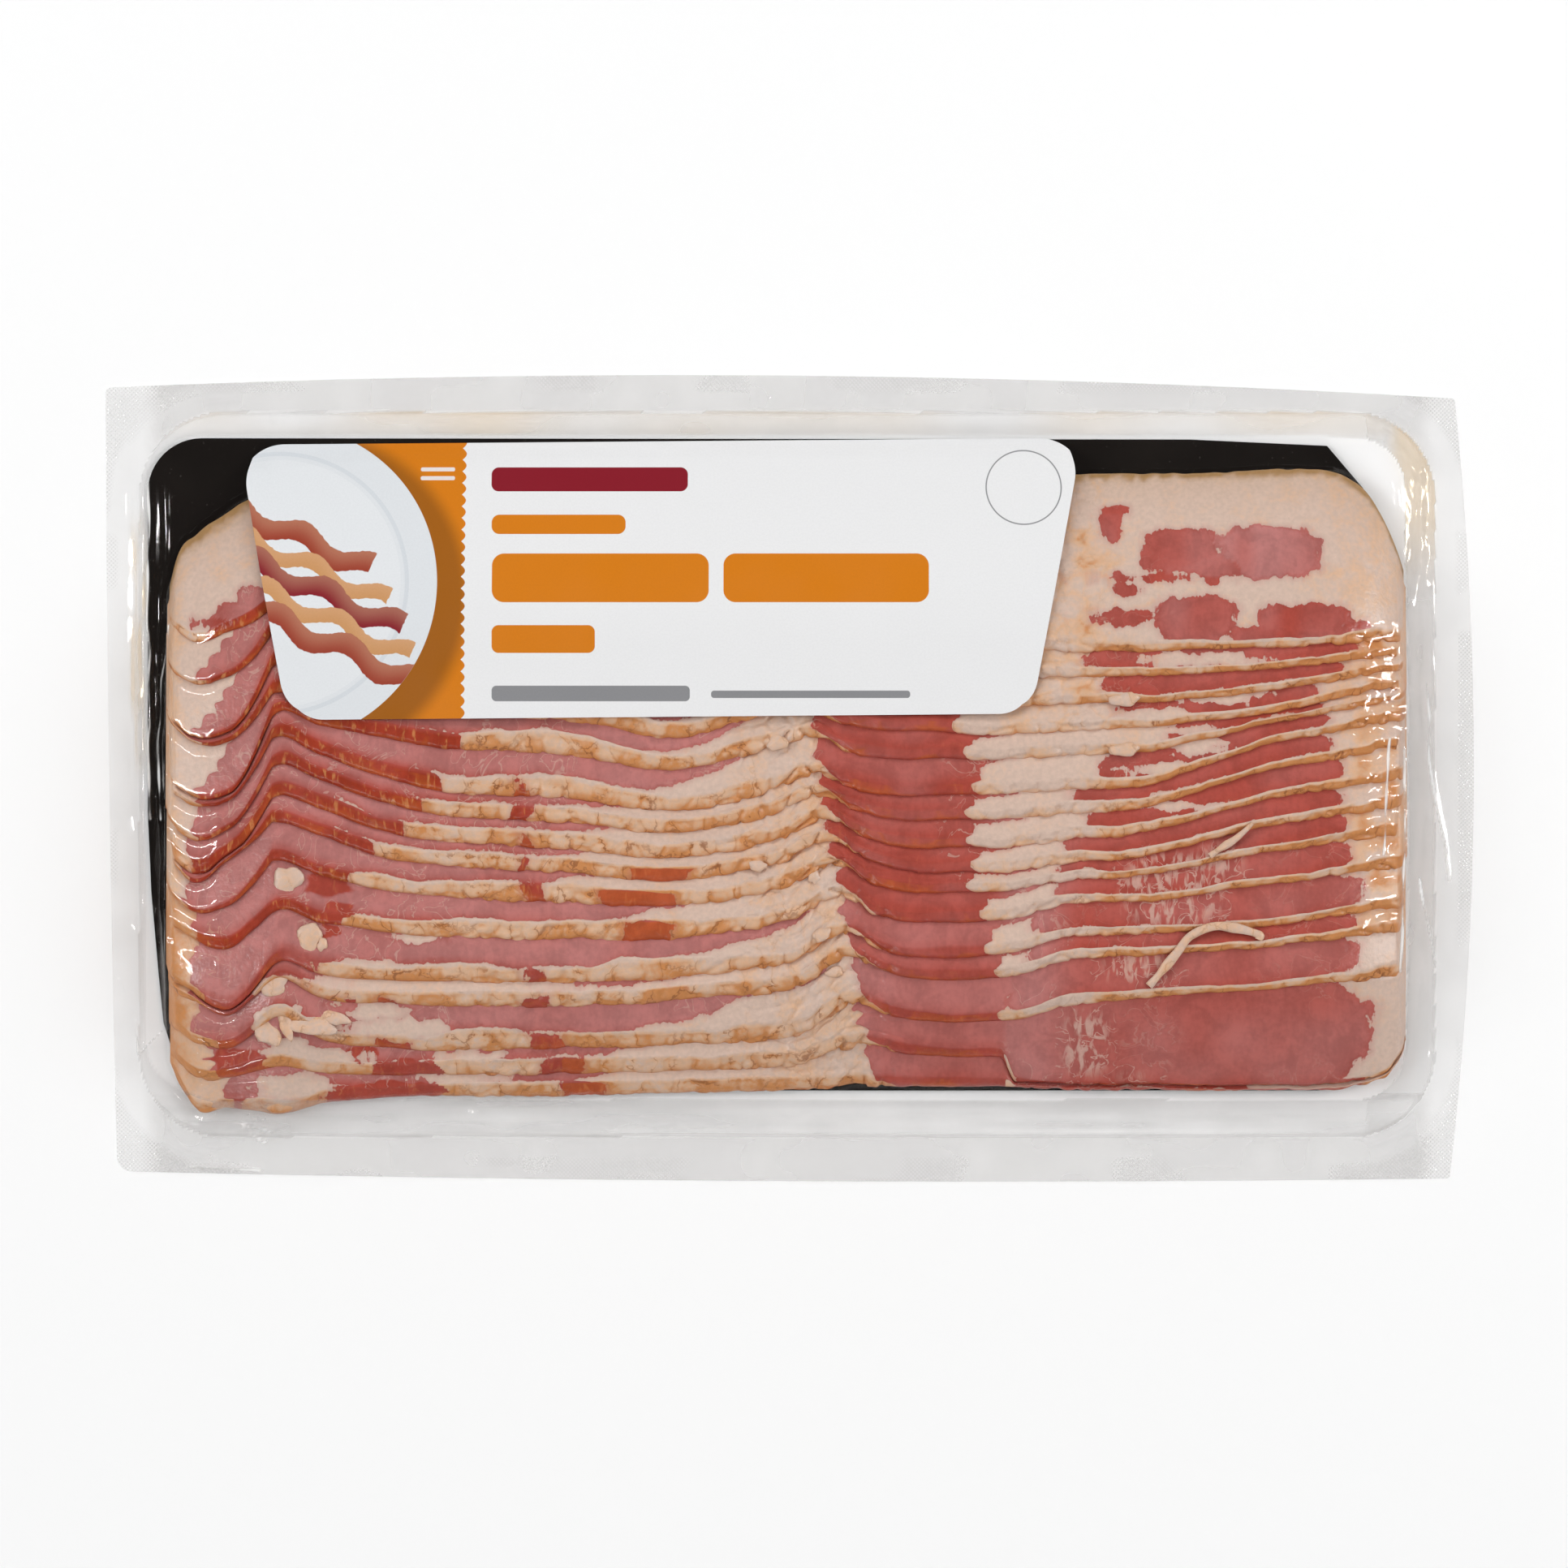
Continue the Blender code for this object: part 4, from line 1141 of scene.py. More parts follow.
def make_slice(number, settings, material):
    """One slice: a closed strip whose lower side and face show, and which runs on below."""
    rng = np.random.default_rng(300 + number)
    left = BLOCK[0] + rng.uniform(-0.4, 0.7) * MM
    right = BLOCK[1] + rng.uniform(-1.2, 0.3) * MM
    x = np.concatenate([
        left + np.array([0.0, 0.12, 0.35]) * MM,
        np.linspace(left + 0.7 * MM, right - 0.7 * MM, STATIONS),
        right - np.array([0.35, 0.12, 0.0]) * MM,
    ])
    ys, zs, edge, shows, side = slice_loops(number, x, settings)
    grid_x, into = np.broadcast_to(x, ys.shape), ys - edge
    moved = x / MM - notch_shift(number) * notch_window(x / MM)
    knobs = smooth_curve(LUMPINESS, moved)
    warp = 0.8 * MM * grain(grid_x, into + number * 9 * MM, 3 * MM, 91)
    lumps = pebbles(grid_x + warp, into + number * 17 * MM + 0.5 * warp, 5.4 * MM, 3.4 * MM, 90)
    fields = lean_pattern(number, grid_x, ys, into, shows + 0 * ys, side + 0 * ys, lumps)

    on_side = fields["side"]
    knobbly = knobbly_face(number, grid_x / MM, moved)
    relief = np.maximum(on_side * knobs, knobbly * (into > side)) * (0.35 + 0.65 * (fields["lean"] < 0))
    press = ramp(lumps, 0.0, 0.34)
    top = np.arange(len(ys))[:, None] < len(ys) - UNDER_ROWS
    zs = zs - np.where(top, 0.70 * MM * relief * (1 - press), 0)
    rough = 0.10 * MM * on_side * (1 + grain(grid_x, into + number * MM, 1.3 * MM, 92))
    zs = zs - np.where(top, rough, 0)
    wiggle = 0.45 * MM * knobs * (press - 0.5) * np.clip(1 - into / side, 0, 1)
    ys = ys - np.where((into < side) & top, wiggle, 0)

    ends = np.minimum(x - left, right - x)
    slim = 0.35 + 0.65 * round_over(ends / (2.2 * MM))
    floor = zs.min(axis=0)
    zs = floor + (zs - floor) * slim
    points = np.stack([grid_x, ys, zs], axis=-1)
    rows, columns = ys.shape
    faces = grid_faces(rows, columns, wrap=True)
    faces.append([r * columns for r in range(rows)][::-1])
    faces.append([r * columns + columns - 1 for r in range(rows)])
    piece = mesh_piece(f"bacon_slice_{number + 1:02d}", points, faces)
    piece.data.set_sharp_from_angle(angle=np.radians(65))

    rind = np.zeros_like(into)
    if number == 0:
        near_rind = np.maximum((rind_line(grid_x) - points[..., 1]) / MM, 0)
        ragged = near_rind + 0.7 * grain(grid_x, points[..., 1], 1.4 * MM, 93)
        wide_rind = 1.2 + 1.1 * (1 - ramp(grid_x / MM, -126, -108))
        rind = 0.95 * bell(np.maximum(ragged, 0), wide_rind) + 0.20 * bell(near_rind, 6.5)
        rind = np.minimum(rind, 0.95)
    for name, values in fields.items():
        store(piece, name, values)
    store(piece, "rind", rind)
    store(piece, "slice", np.full_like(into, 0.17 * number))
    piece.data.materials.append(material)
    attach(piece, "root")
    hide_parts("sealed_pack")
    return piece


def bacon_material(settings, name, values=None):
    """Raw bacon. Values stand in for the numbers kept on a slice's points."""
    material, tree, surface = new_material(name)
    point = surface_point(tree)
    fields = values or {name: stored(tree, name) for name in SLICE_FIELDS}
    out = use_group(
        tree, "Bacon", point=point, **fields,
        pale_lean=settings.pale_lean, red_lean=settings.red_lean, dark_lean=settings.dark_lean,
        pale_fat=settings.pale_fat, cream_fat=settings.cream_fat, smoked_fat=settings.smoked_fat,
    )
    shader = principled(
        tree, base_color=out["Color"], roughness=out["Roughness"], ior=1.40, specular_ior_level=0.3,
        normal=bump(tree, out["Height"], 0.7, 0.0004),
    )
    tree.links.new(shader.outputs[0], surface)
    return material


class BACONPACK_OT_slices(bpy.types.Operator):
    """Build the shingled slices of bacon"""

    bl_idname = "baconpack.slices"
    bl_label = "Slices"

    def execute(self, context):
        settings = context.scene.bacon_slices
        material = bacon_material(settings, "raw_bacon")
        for number in range(SLICES):
            make_slice(number, settings, material)
        return {"FINISHED"}


# What the bacon's material takes for loose fat, in place of numbers kept on its points.
LOOSE_FAT = dict(zip(SLICE_FIELDS, (-4.0, 0.5, 0.0, 0.22, 0.0, 0.0, 0.4, 0.0, 3.3)))

# Each bit of fat's rings from below to above, points in a ring, half height, and height above
# the slices.
NODULE_RINGS, NODULE_AROUND, NODULE_HALF, NODULE_RISE = 9, 22, 0.55 * MM, 0.15 * MM

# Each strand's stations along, points in a ring, half thickness, and height above the stack.
STRAND_STATIONS, STRAND_AROUND, STRAND_HALF, STRAND_RISE = 60, 10, 0.45 * MM, 0.25 * MM


def full_turn(count):
    """Evenly spaced angles all the way round."""
    return np.linspace(0, 2 * np.pi, count, endpoint=False)


def nodule(x, y, half_x, half_y, turn, z):
    """Rings of points of one rounded bit of fat, flattened onto the stack."""
    rng = np.random.default_rng(int(abs(x) * 1e6) % 9973)
    out = full_turn(NODULE_AROUND)[None, :]
    lumps = 1 + 0.05 * rng.uniform(-1, 1, (NODULE_RINGS, NODULE_AROUND))
    for waves, size in ((2, 0.12), (3, 0.10), (5, 0.07)):
        lumps = lumps + size * np.sin(waves * out + rng.uniform(0, 6))
    up = np.linspace(-np.pi / 2, np.pi / 2, NODULE_RINGS)[:, None]
    px, py = half_x * np.cos(up) * np.cos(out) * lumps, half_y * np.cos(up) * np.sin(out) * lumps
    pz = NODULE_HALF * np.sin(up) + 0 * out
    c, s = np.cos(np.radians(turn)), np.sin(np.radians(turn))
    return np.stack([x + c * px - s * py, y + s * px + c * py, z + pz], axis=-1)


def tube_faces(rings, around, start):
    """Faces of a grid of rings that close round, with their ends filled."""
    faces = []
    for near in range(start, start + (rings - 1) * around, around):
        far = near + around
        faces += [(near + a, near + (a + 1) % around, far + (a + 1) % around, far + a) for a in range(around)]
    last = start + (rings - 1) * around
    return faces + [list(range(start, start + around))[::-1], list(range(last, last + around))]


def strand(path, width, settings):
    """Rings of points of a thin curled strip of fat that lies over the slices."""
    route = np.array([photo_point(*p) for p in path])
    t = np.linspace(0, len(route) - 1, STRAND_STATIONS)
    order = np.arange(len(route))
    x = smooth_curve(np.stack([order, route[:, 0]], axis=1), t)
    y = smooth_curve(np.stack([order, route[:, 1]], axis=1), t)
    tangent = np.stack([np.gradient(x), np.gradient(y)], axis=1)
    tangent /= np.linalg.norm(tangent, axis=1)[:, None]
    across = np.stack([-tangent[:, 1], tangent[:, 0]], axis=1)
    angle = full_turn(STRAND_AROUND)
    thin = 0.55 + 0.45 * np.sin(np.linspace(0.1, 1, STRAND_STATIONS) * np.pi)
    thin = thin * (1 + 0.25 * grain(t, 0, 0.7, 5))
    reach = np.outer(thin * width / 2, np.cos(angle))
    px = x[:, None] + across[:, :1] * reach
    py = y[:, None] + across[:, 1:] * reach
    pz = stack_height(x, y, settings)[:, None] + STRAND_RISE + np.sin(angle)[None, :] * STRAND_HALF
    return np.stack([px, py, pz], axis=-1)


class BACONPACK_OT_scraps(bpy.types.Operator):
    """Build the loose bits and strands of fat that lie on the slices"""

    bl_idname = "baconpack.scraps"
    bl_label = "Scraps of Fat"

    def execute(self, context):
        settings = context.scene.bacon_slices
        material = bacon_material(settings, "loose_fat", LOOSE_FAT)
        shapes = []
        for column, row, half_x, half_y, turn in NODULES:
            x, y = photo_point(column, row)
            z = stepped_height(np.array([x]), np.array([y]), settings)[0] + NODULE_RISE
            shapes.append(nodule(x, y, half_x * PHOTO_PIXEL, half_y * PHOTO_PIXEL, turn, z))
        for path, width in zip(STRANDS, STRAND_WIDTHS):
            shapes.append(strand(path, width, settings))
        points, faces, start = [], [], 0
        for shape in shapes:
            points.append(shape.reshape(-1, 3))
            faces += tube_faces(*shape.shape[:2], start)
            start += len(points[-1])
        piece = mesh_piece("fat_scraps", np.concatenate(points), faces)
        piece.data.materials.append(material)
        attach(piece, "root")
        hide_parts("sealed_pack")
        return {"FINISHED"}


def board_outline():
    """The board's outline: two round corners, one slanted and one cut straight."""
    left, right, bottom, top, radius = BOARD

    def corner(x, y, first):
        """A quarter of a circle about this centre, from this angle on."""
        angles = np.radians(np.linspace(first, first + 90, 13))
        return [(x + radius * np.cos(a), y + radius * np.sin(a)) for a in angles]

    points = [(x * MM, y * MM) for x, y in BOARD_SLANT] + corner(right - radius, bottom + radius, 270)
    points += [(x * MM, y * MM) for x, y in BOARD_CUT] + corner(left + radius, top - radius, 90)
    return np.array(points)


# The board's scuffs and the pale specks in it.
SCUFF, SPECK = (0.010, 0.007, 0.005, 1), (0.10, 0.09, 0.08, 1)


class BACONPACK_OT_board(bpy.types.Operator):
    """Build the black board behind the slices"""

    bl_idname = "baconpack.board"
    bl_label = "Board"

    def execute(self, context):
        settings = context.scene.bacon_board
        edge = board_outline()
        centre = edge.mean(axis=0)
        rounding = 0.15 * MM
        thick = settings.thickness
        layers = [(rounding, 0.0), (0.0, rounding), (0.0, thick - rounding), (rounding, thick)]
        points = []
        for inset, rise in layers:
            inward = (centre - edge) / np.linalg.norm(centre - edge, axis=1)[:, None] * inset
            level = np.full((len(edge), 1), settings.level + rise)
            points.append(np.concatenate([edge + inward, level], axis=1))
        piece = mesh_piece("backing_board", np.concatenate(points), tube_faces(len(layers), len(edge), 0))
        piece.data.set_sharp_from_angle(angle=np.radians(30))
        material, tree, surface = new_material("black_board")
        point = surface_point(tree)
        mottle = use_group(tree, "Mottle", point=point, coarse=45.0, fine=1500.0)
        speck = between(tree, mottle["Grain"], 0.70, 0.76)
        scuff = between(tree, mottle["Cloud"], 0.35, 0.75)
        colour = blend(tree, times(tree, scuff, 0.7), settings.colour, SCUFF)
        colour = blend(tree, times(tree, speck, 0.5), colour, SPECK)
        roughness = between(tree, mottle["Cloud"], 0.3, 0.7, 0.45, 0.62)
        shader = principled(
            tree, base_color=colour, roughness=roughness, specular_ior_level=0.05,
            normal=bump(tree, mottle["Grain"], 0.25, 0.0001),
        )
        tree.links.new(shader.outputs[0], surface)
        piece.data.materials.append(material)
        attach(piece, "root")
        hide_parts("sealed_pack")
        return {"FINISHED"}


def rim_line(side, along):
    """The rim's place on one side, at a share of the way along it."""
    ends = {
        "left": (RIM_LEFT_LOW[0], RIM_LEFT_HIGH[0], -1), "right": (RIM_RIGHT_LOW[0], RIM_RIGHT_HIGH[0], 1),
        "bottom": (RIM_LEFT_LOW[1], RIM_RIGHT_LOW[1], -1), "top": (RIM_LEFT_HIGH[1], RIM_RIGHT_HIGH[1], 1),
    }
    start, end, outward = ends[side]
    return start + (end - start) * along + outward * RIM_BOWS[side] * (1 - (2 * along - 1) ** 2)


# From each corner of a sheet, the way into it.
INWARD = {"left_low": (1, 1), "right_low": (-1, 1), "right_high": (-1, -1), "left_high": (1, -1)}


def film_grid():
    """Points of the film in plan: finer near the rim, where it is drawn and creased."""

    def stations(length, band, fine, coarse):
        """Shares along one side, in fine steps over a band at each end."""
        edge = np.arange(0, band, fine)
        middle = np.linspace(band, length - band, int((length - 2 * band) / coarse) + 1)
        return np.concatenate([edge, middle, length - edge[::-1]]) / length

    s = stations(300.0, 24.0, 0.40, 1.15)[None, :]
    t = stations(178.0, 22.0, 0.48, 0.9)[:, None]
    y = (1 - t) * rim_line("bottom", s) + t * rim_line("top", s)
    x = (1 - s) * rim_line("left", t) + s * rim_line("right", t)
    points = np.zeros((t.shape[0], s.shape[1], 3))
    points[..., 0], points[..., 1] = x, y
    places = {
        "left_low": RIM_LEFT_LOW, "left_high": RIM_LEFT_HIGH,
        "right_low": RIM_RIGHT_LOW, "right_high": RIM_RIGHT_HIGH,
    }
    corners = [((place, INWARD[name]), RIM_CORNERS[name]) for name, place in places.items()]
    return rounded_corners(points, corners)


def neighbours(grid):
    """The grid moved by one cell each way and left in place, as nine grids."""
    padded = np.pad(grid, 1, mode="edge")
    rows, columns = grid.shape
    return [padded[i : i + rows, j : j + columns] for i in range(3) for j in range(3)]


def widest(grid):
    """Each cell's highest neighbour, then a light blur."""
    return np.mean(neighbours(np.max(neighbours(grid), axis=0)), axis=0)


def film_height(points, film, slices, board):
    """Height of the front film: drawn onto the contents, then down to the rim in creases."""
    x, y = points[..., 0], points[..., 1]
    held_x, held_y = np.clip(x, BLOCK[0], BLOCK[1]), np.clip(y, BLOCK[2], BLOCK[3])
    surface = stepped_height(held_x, held_y, slices)
    draped = np.maximum(widest(surface), surface + 0.05 * MM) + film.clearance
    outside = outside_distance(x, y, BLOCK)
    room = np.maximum(-outside_distance(x, y, POCKET), 0)
    out = np.maximum(outside, 0)
    share = out / np.maximum(out + room, 1e-9)
    steep = 3.0 * ramp(-x / MM, 126, 138.5) * ramp(x / MM, -150, -146) * ramp(y / MM, -64, -56)
    drawn = (1 - share) ** (1.5 + steep)
    height = film.rim_thickness + (draped - film.rim_thickness) * drawn
    wall = 4 * share * (1 - share) * (out > 0) * (room > 0)
    along = np.where(np.abs(x) / 1.7 > np.abs(y), y, x)
    creases = grain(share * 9 * MM + along * 0.10, along * 0.35, 1.6 * MM, 21)
    creases = creases + 0.6 * grain(x, y, 3.1 * MM, 22)
    height = height + wall * creases * 0.42 * MM
    board_top = board.level + board.thickness + 0.25 * MM
    over_board = 1 - ramp(outside_distance(x, y, BOARD), 0.0, 1.5 * MM)
    height = np.maximum(height, board_top * over_board)
    held = out == 0
    crumple = ramp(x / MM, 104, 122) * ramp(y / MM, -48, -20) * (1 - ramp(y / MM, 34, 42))
    crumple = crumple + 0.5 * (1 - ramp(x / MM, -136, -128)) + 0.25 * (1 - ramp(y / MM, -66, -56))
    folds = np.abs(grain(x * 0.8 + y * 0.35, y, 4.4 * MM, 24)) + 0.5 * np.abs(grain(x, y, 2.8 * MM, 25))
    ripple = (0.04 * grain(x, y, 6.0 * MM, 23) + 0.55 * crumple * folds) * MM
    height = height + np.where(held, ripple, 0)
    for place, size, seed in PLEATS:
        line = place * MM + 0.9 * MM * grain(y, 0 * y, 19 * MM, seed)
        strength = ramp(grain(y, 0 * y, 13 * MM, seed + 1), -0.5, 0.2)
        strength = strength * ramp((72 * MM - np.abs(y)) / MM, 0, 8)
        height = height + size * MM * strength * bell(x - line, 0.95 * MM)
    height = height + 0.45 * MM * near_crease(x, y, 0.6 * MM)
    return height, out, room


def near_crease(x, y, half_width):
    """How near each point is to one of the film's sharp creases, from 0 to 1."""
    near = np.zeros_like(x)
    bent = x + 0.35 * MM * grain(y, 0 * y, 7 * MM, 55)
    for x0, y0, x1, y1 in CREASES:
        start, end = np.array(photo_point(x0, y0)), np.array(photo_point(x1, y1))
        run = end - start
        share = np.clip(((bent - start[0]) * run[0] + (y - start[1]) * run[1]) / (run @ run), 0, 1)
        gap = np.hypot(bent - start[0] - share * run[0], y - start[1] - share * run[1])
        near = np.maximum(near, bell(gap, half_width))
    return near


def rim_relief(points, height):
    """Adds the pressed arcs round the pocket, and the puckers of the sealed rim."""
    x, y = points[..., 0], points[..., 1]
    beyond = np.maximum(outside_distance(x, y, POCKET), 0)
    flat = beyond > 0
    corner = ramp(np.abs(x) / MM, 112, 132) * ramp(np.abs(y) / MM, 48, 66)
    arcs = bell(beyond - 2.4 * MM, 0.55 * MM) + 0.7 * bell(beyond - 5.2 * MM, 0.6 * MM)
    groove = bell(beyond - 4.6 * MM, 0.9 * MM) * (x > 0.12) * (1 - corner)
    pucker = 0.12 * grain(x, y, 11 * MM, 31) + 0.05 * grain(x, y, 3.5 * MM, 32)
    lift = (0.30 * arcs * corner + 0.22 * groove + pucker * ramp(beyond / MM, 0.0, 2.0)) * MM
    return height + np.where(flat, lift, 0)


class BACONPACK_OT_film(bpy.types.Operator):
    """Build the clear film, drawn over the slices and sealed round its rim"""

    bl_idname = "baconpack.film"
    bl_label = "Film"

    def execute(self, context):
        scene = context.scene
        points = film_grid()
        height, out, room = film_height(points, scene.bacon_film, scene.bacon_slices, scene.bacon_board)
        height = rim_relief(points, height)
        rows, columns, _ = points.shape
        points[..., 2] = np.maximum(height, 0.3 * MM)
        around = outline(rows, columns)
        flat = points.reshape(-1, 3)
        lower = flat[around].copy()
        lower[:, 2] = 0.02 * MM
        faces = grid_faces(rows, columns)
        count = len(flat)
        ring = list(range(count, count + len(around)))
        upper_next, ring_next = around[1:] + around[:1], ring[1:] + ring[:1]
        faces += [(c, d, b, a) for a, b, c, d in zip(around, upper_next, ring, ring_next)]
        faces.append(ring[::-1])
        piece = mesh_piece("clear_film", np.concatenate([flat, lower]), faces)
        piece.data.set_sharp_from_angle(angle=np.radians(70))
        x, y = points[..., 0], points[..., 1]
        store_film_marks(piece, x, y, out, room, len(around))
        piece.data.materials.append(film_material(scene.bacon_film))
        # The film casts no shadow; the grey of its milky cover is painted shade in its place.
        piece.visible_shadow = False
        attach(piece, "root")
        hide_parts("sealed_pack")
        return {"FINISHED"}


def store_film_marks(piece, x, y, out, room, extra):
    """Where the film is ribbed, hazy with a grey that is partly painted shade, or warm with what it lies
    against, and where a highlight is painted along its creases.
    """
    beyond = outside_distance(x, y, POCKET) / MM
    past_board = outside_distance(x, y, BOARD) / MM
    at, up = x / MM, y / MM
    corner = np.minimum(np.abs(at) - 118, np.abs(up) - 55)
    ribbed = ramp(corner, 0, 6) * ramp(beyond, 5.5, 7.5)
    right_strip = (at > 140) * ramp(36 + 6 * grain(y, 0 * y, 9 * MM, 3) - np.abs(up), 0, 6)
    ribbed = np.maximum(ribbed, ramp(beyond, 4.8, 5.4) * right_strip)
    patch = ramp(grain(x, y, 16 * MM, 41), 0.15, 0.45) * ramp(beyond, 4.0, 5.5)
    ribbed = np.maximum(ribbed, 0.55 * patch)
    wall = np.where((out > 0) & (room > 0), 1.0, 0.0) * ramp(past_board, 0.0, 1.0)
    lines = 0.5 + 0.5 * grain(y, x * 0.05, 1.6 * MM, 42)
    ends = ramp(np.abs(at), 138.0, 144.0)
    # How milky the film is; on the rim and walls this grey cover is partly painted shade, standing in for the
    # film's own shadow.
    haze_and_shade = (0.41 - 0.22 * ends - 0.05 * (at < 0) * ends) * ramp(beyond, -1.0, 0.5)
    haze_and_shade = haze_and_shade + wall * (0.25 + 0.20 * lines * (up < -70) + 0.12 * (at > 128))
    haze_and_shade = haze_and_shade + 0.04 * grain(x, y, 7 * MM, 43)
    haze_and_shade = haze_and_shade * ramp(past_board, 0.0, 1.0)
    warm = wall * np.clip(0.25 + 0.6 * grain(x, y, 22 * MM, 51), 0, 1) * ramp(up, 74, 77)
    strip = ramp(-at, 142.0, 142.8) * ramp(147.0 + at, 0.0, 1.0) * ramp(32 - np.abs(up - 30), 0, 12)
    warm = np.maximum(warm, strip * np.clip(0.45 + 0.9 * grain(x, y * 0.08, 0.8 * MM, 52), 0, 1))
    warm = np.maximum(warm, wall * 0.8 * ramp(at, 131, 136) * ramp(up, 36, 62))
    # Painted highlight: where the film is creased it is painted white, in place of the glints of light on the
    # creases.
    bent = near_crease(x, y, 0.42 * MM) * (0.75 + 0.45 * grain(x, y, 5 * MM, 56))
    rest = np.zeros(extra)
    marks = {"ribbed": ribbed, "haze_and_shade": np.clip(haze_and_shade, 0, 1), "warm": warm, "crease_glint": np.clip(bent, 0, 1)}
    for name, values in marks.items():
        store(piece, name, np.concatenate([values.ravel(), rest]))


# The film's tint where it is warm with fat, the white of the painted highlight along its sharp creases, and
# what it bends light by.
GREASY_FILM, CREASE_GLINT_WHITE = (0.68, 0.53, 0.35, 1), (0.93, 0.92, 0.91, 1)
FILM_IOR = 1.48


def film_material(settings):
    """Clear film: what lies behind it shows, with mirror gloss, a milky grey that is partly painted shade,
    pressed ribs, and a painted highlight along its creases.
    """
    material, tree, surface = new_material("clear_film")
    point = surface_point(tree)
    knurl = use_group(tree, "Knurl", point=point, pitch=settings.knurl_pitch)["Height"]
    mottle = use_group(tree, "Mottle", point=point, coarse=110.0, fine=700.0)
    ribbed = stored(tree, "ribbed")
    relief = times(tree, knurl, ribbed)
    for column, row in EMBOSSED_RINGS:
        centre = (*photo_point(column, row), 0.0)
        ring = use_group(tree, "Ring", point=point, centre=centre, radius=EMBOSSED_RADIUS, line=0.25 * MM)
        relief = plus(tree, relief, ring["Mask"])
    relief = times_plus(tree, mottle["Cloud"], 0.5, relief)
    normal = bump(tree, relief, 0.6, 0.0002)
    # The milky cover, partly painted shade in place of the film's shadow.
    haze_and_shade = times_plus(tree, times(tree, ribbed, knurl), 0.20, stored(tree, "haze_and_shade"), clamp=True)
    milky = blend(tree, stored(tree, "warm"), settings.haze_and_shade, GREASY_FILM)
    haze_and_shade = times_plus(tree, stored(tree, "warm"), 0.35, haze_and_shade, clamp=True)
    # Painted highlight along the creases: nearly opaque white there, with the gloss taken off.
    crease_glint = between(tree, stored(tree, "crease_glint"), 0.25, 0.85)
    milky = blend(tree, crease_glint, milky, CREASE_GLINT_WHITE)
    haze_and_shade = times_plus(tree, crease_glint, 0.85, haze_and_shade, clamp=True)
    fresnel = add_node(tree, "ShaderNodeFresnel", {"IOR": FILM_IOR, "Normal": normal}).outputs[0]
    inside = add_node(tree, "ShaderNodeNewGeometry").outputs["Backfacing"]
    gloss = times(tree, fresnel, times_plus(tree, inside, -0.65, 0.65))
    gloss = times(tree, gloss, minus(tree, 1.0, crease_glint))
    cover = plus(tree, plus(tree, gloss, haze_and_shade), 0.004, clamp=True)
    shader = principled(
        tree, base_color=milky, roughness=0.06, ior=1.0, normal=normal,
        metallic=calc(tree, "DIVIDE", gloss, cover), alpha=cover,
    )
    tree.links.new(shader.outputs[0], surface)
    return material


def label_grid():
    """Points of the label in plan, from its lower left corner, with its corners rounded."""
    (low_left, _), (low_right, _) = LABEL_CORNERS["left_low"], LABEL_CORNERS["right_low"]
    (high_right, _), (high_left, _) = LABEL_CORNERS["right_high"], LABEL_CORNERS["left_high"]
    s, t = np.linspace(0, 1, 176)[None, :, None], np.linspace(0, 1, 68)[:, None, None]
    low = np.array(low_left) * (1 - s) + np.array(low_right) * s
    high = np.array(high_left) * (1 - s) + np.array(high_right) * s
    plan = low * (1 - t) + high * t
    points = np.concatenate([plan, np.zeros((*plan.shape[:2], 1))], axis=-1)
    corners = [((c, INWARD[name]), r) for name, (c, r) in LABEL_CORNERS.items()]
    return rounded_corners(points, corners)


class BACONPACK_OT_label(bpy.types.Operator):
    """Build the printed paper label on the front of the film"""

    bl_idname = "baconpack.label"
    bl_label = "Label"

    def execute(self, context):
        settings, slices = context.scene.bacon_label, context.scene.bacon_slices
        points = label_grid()
        x, y = points[..., 0], points[..., 1]
        crests = []
        for dx in (-2 * MM, 0, 2 * MM):
            for dy in (-3 * MM, 0, 3 * MM):
                px, py = x + dx, np.minimum(y + dy, BLOCK[3])
                on_slices = ease((rind_line(px) + 3 * MM - py) / (3 * MM))
                crest = stack_height(px, py, slices)
                crests.append(slices.board_level + (crest - slices.board_level) * on_slices)
        height = widest(np.max(crests, axis=0)) + 0.42 * MM + 0.07 * MM * grain(x, y, 14 * MM, 61)
        bottom, top = points.copy(), points.copy()
        bottom[..., 2], top[..., 2] = height, height + settings.thickness
        piece = closed_sheet("paper_label", top, bottom)
        piece.data.materials.append(label_material(settings))
        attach(piece, "root")
        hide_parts("front_label")
        return {"FINISHED"}


# The label's bars: left, right, top and bottom in photo pixels, corner radius and colour.
LABEL_BARS = (
    (607, 848, 577, 607, 0.3, "maroon"), (608, 772, 636, 660, 0.4, "orange"),
    (609, 874, 684, 744, 0.25, "orange"), (892, 1143, 684, 744, 0.25, "orange"),
    (609, 735, 772, 806, 0.25, "orange"), (609, 851, 846, 865, 0.3, "grey"),
    (877, 1120, 852, 861, 0.4, "grey"),
)

# Two short bars on the orange band: left, right, top and bottom.
BAND_BARS = ((520, 562, 577, 582), (520, 562, 588, 593))

# The orange band's right edge, and its scallops' depth and length.
BAND_RIGHT = 571
BAND_SCALLOP = (5.0, 29.0)

# The plate's centre and radius, how far right of it and below it its shadow falls, and its colours.
PLATE = (345, 720, 197)
SHADE_SHIFT = (5.5 * MM, 3.0 * MM)
SHADE = (0.16, 0.055, 0.004, 1)
CHINA, CHINA_LINE, CHINA_WELL = (0.74, 0.765, 0.79, 1), (0.60, 0.64, 0.68, 1), (0.82, 0.835, 0.85, 1)

# The ring's centre and radius.
SEAL = (1260, 602, 46)

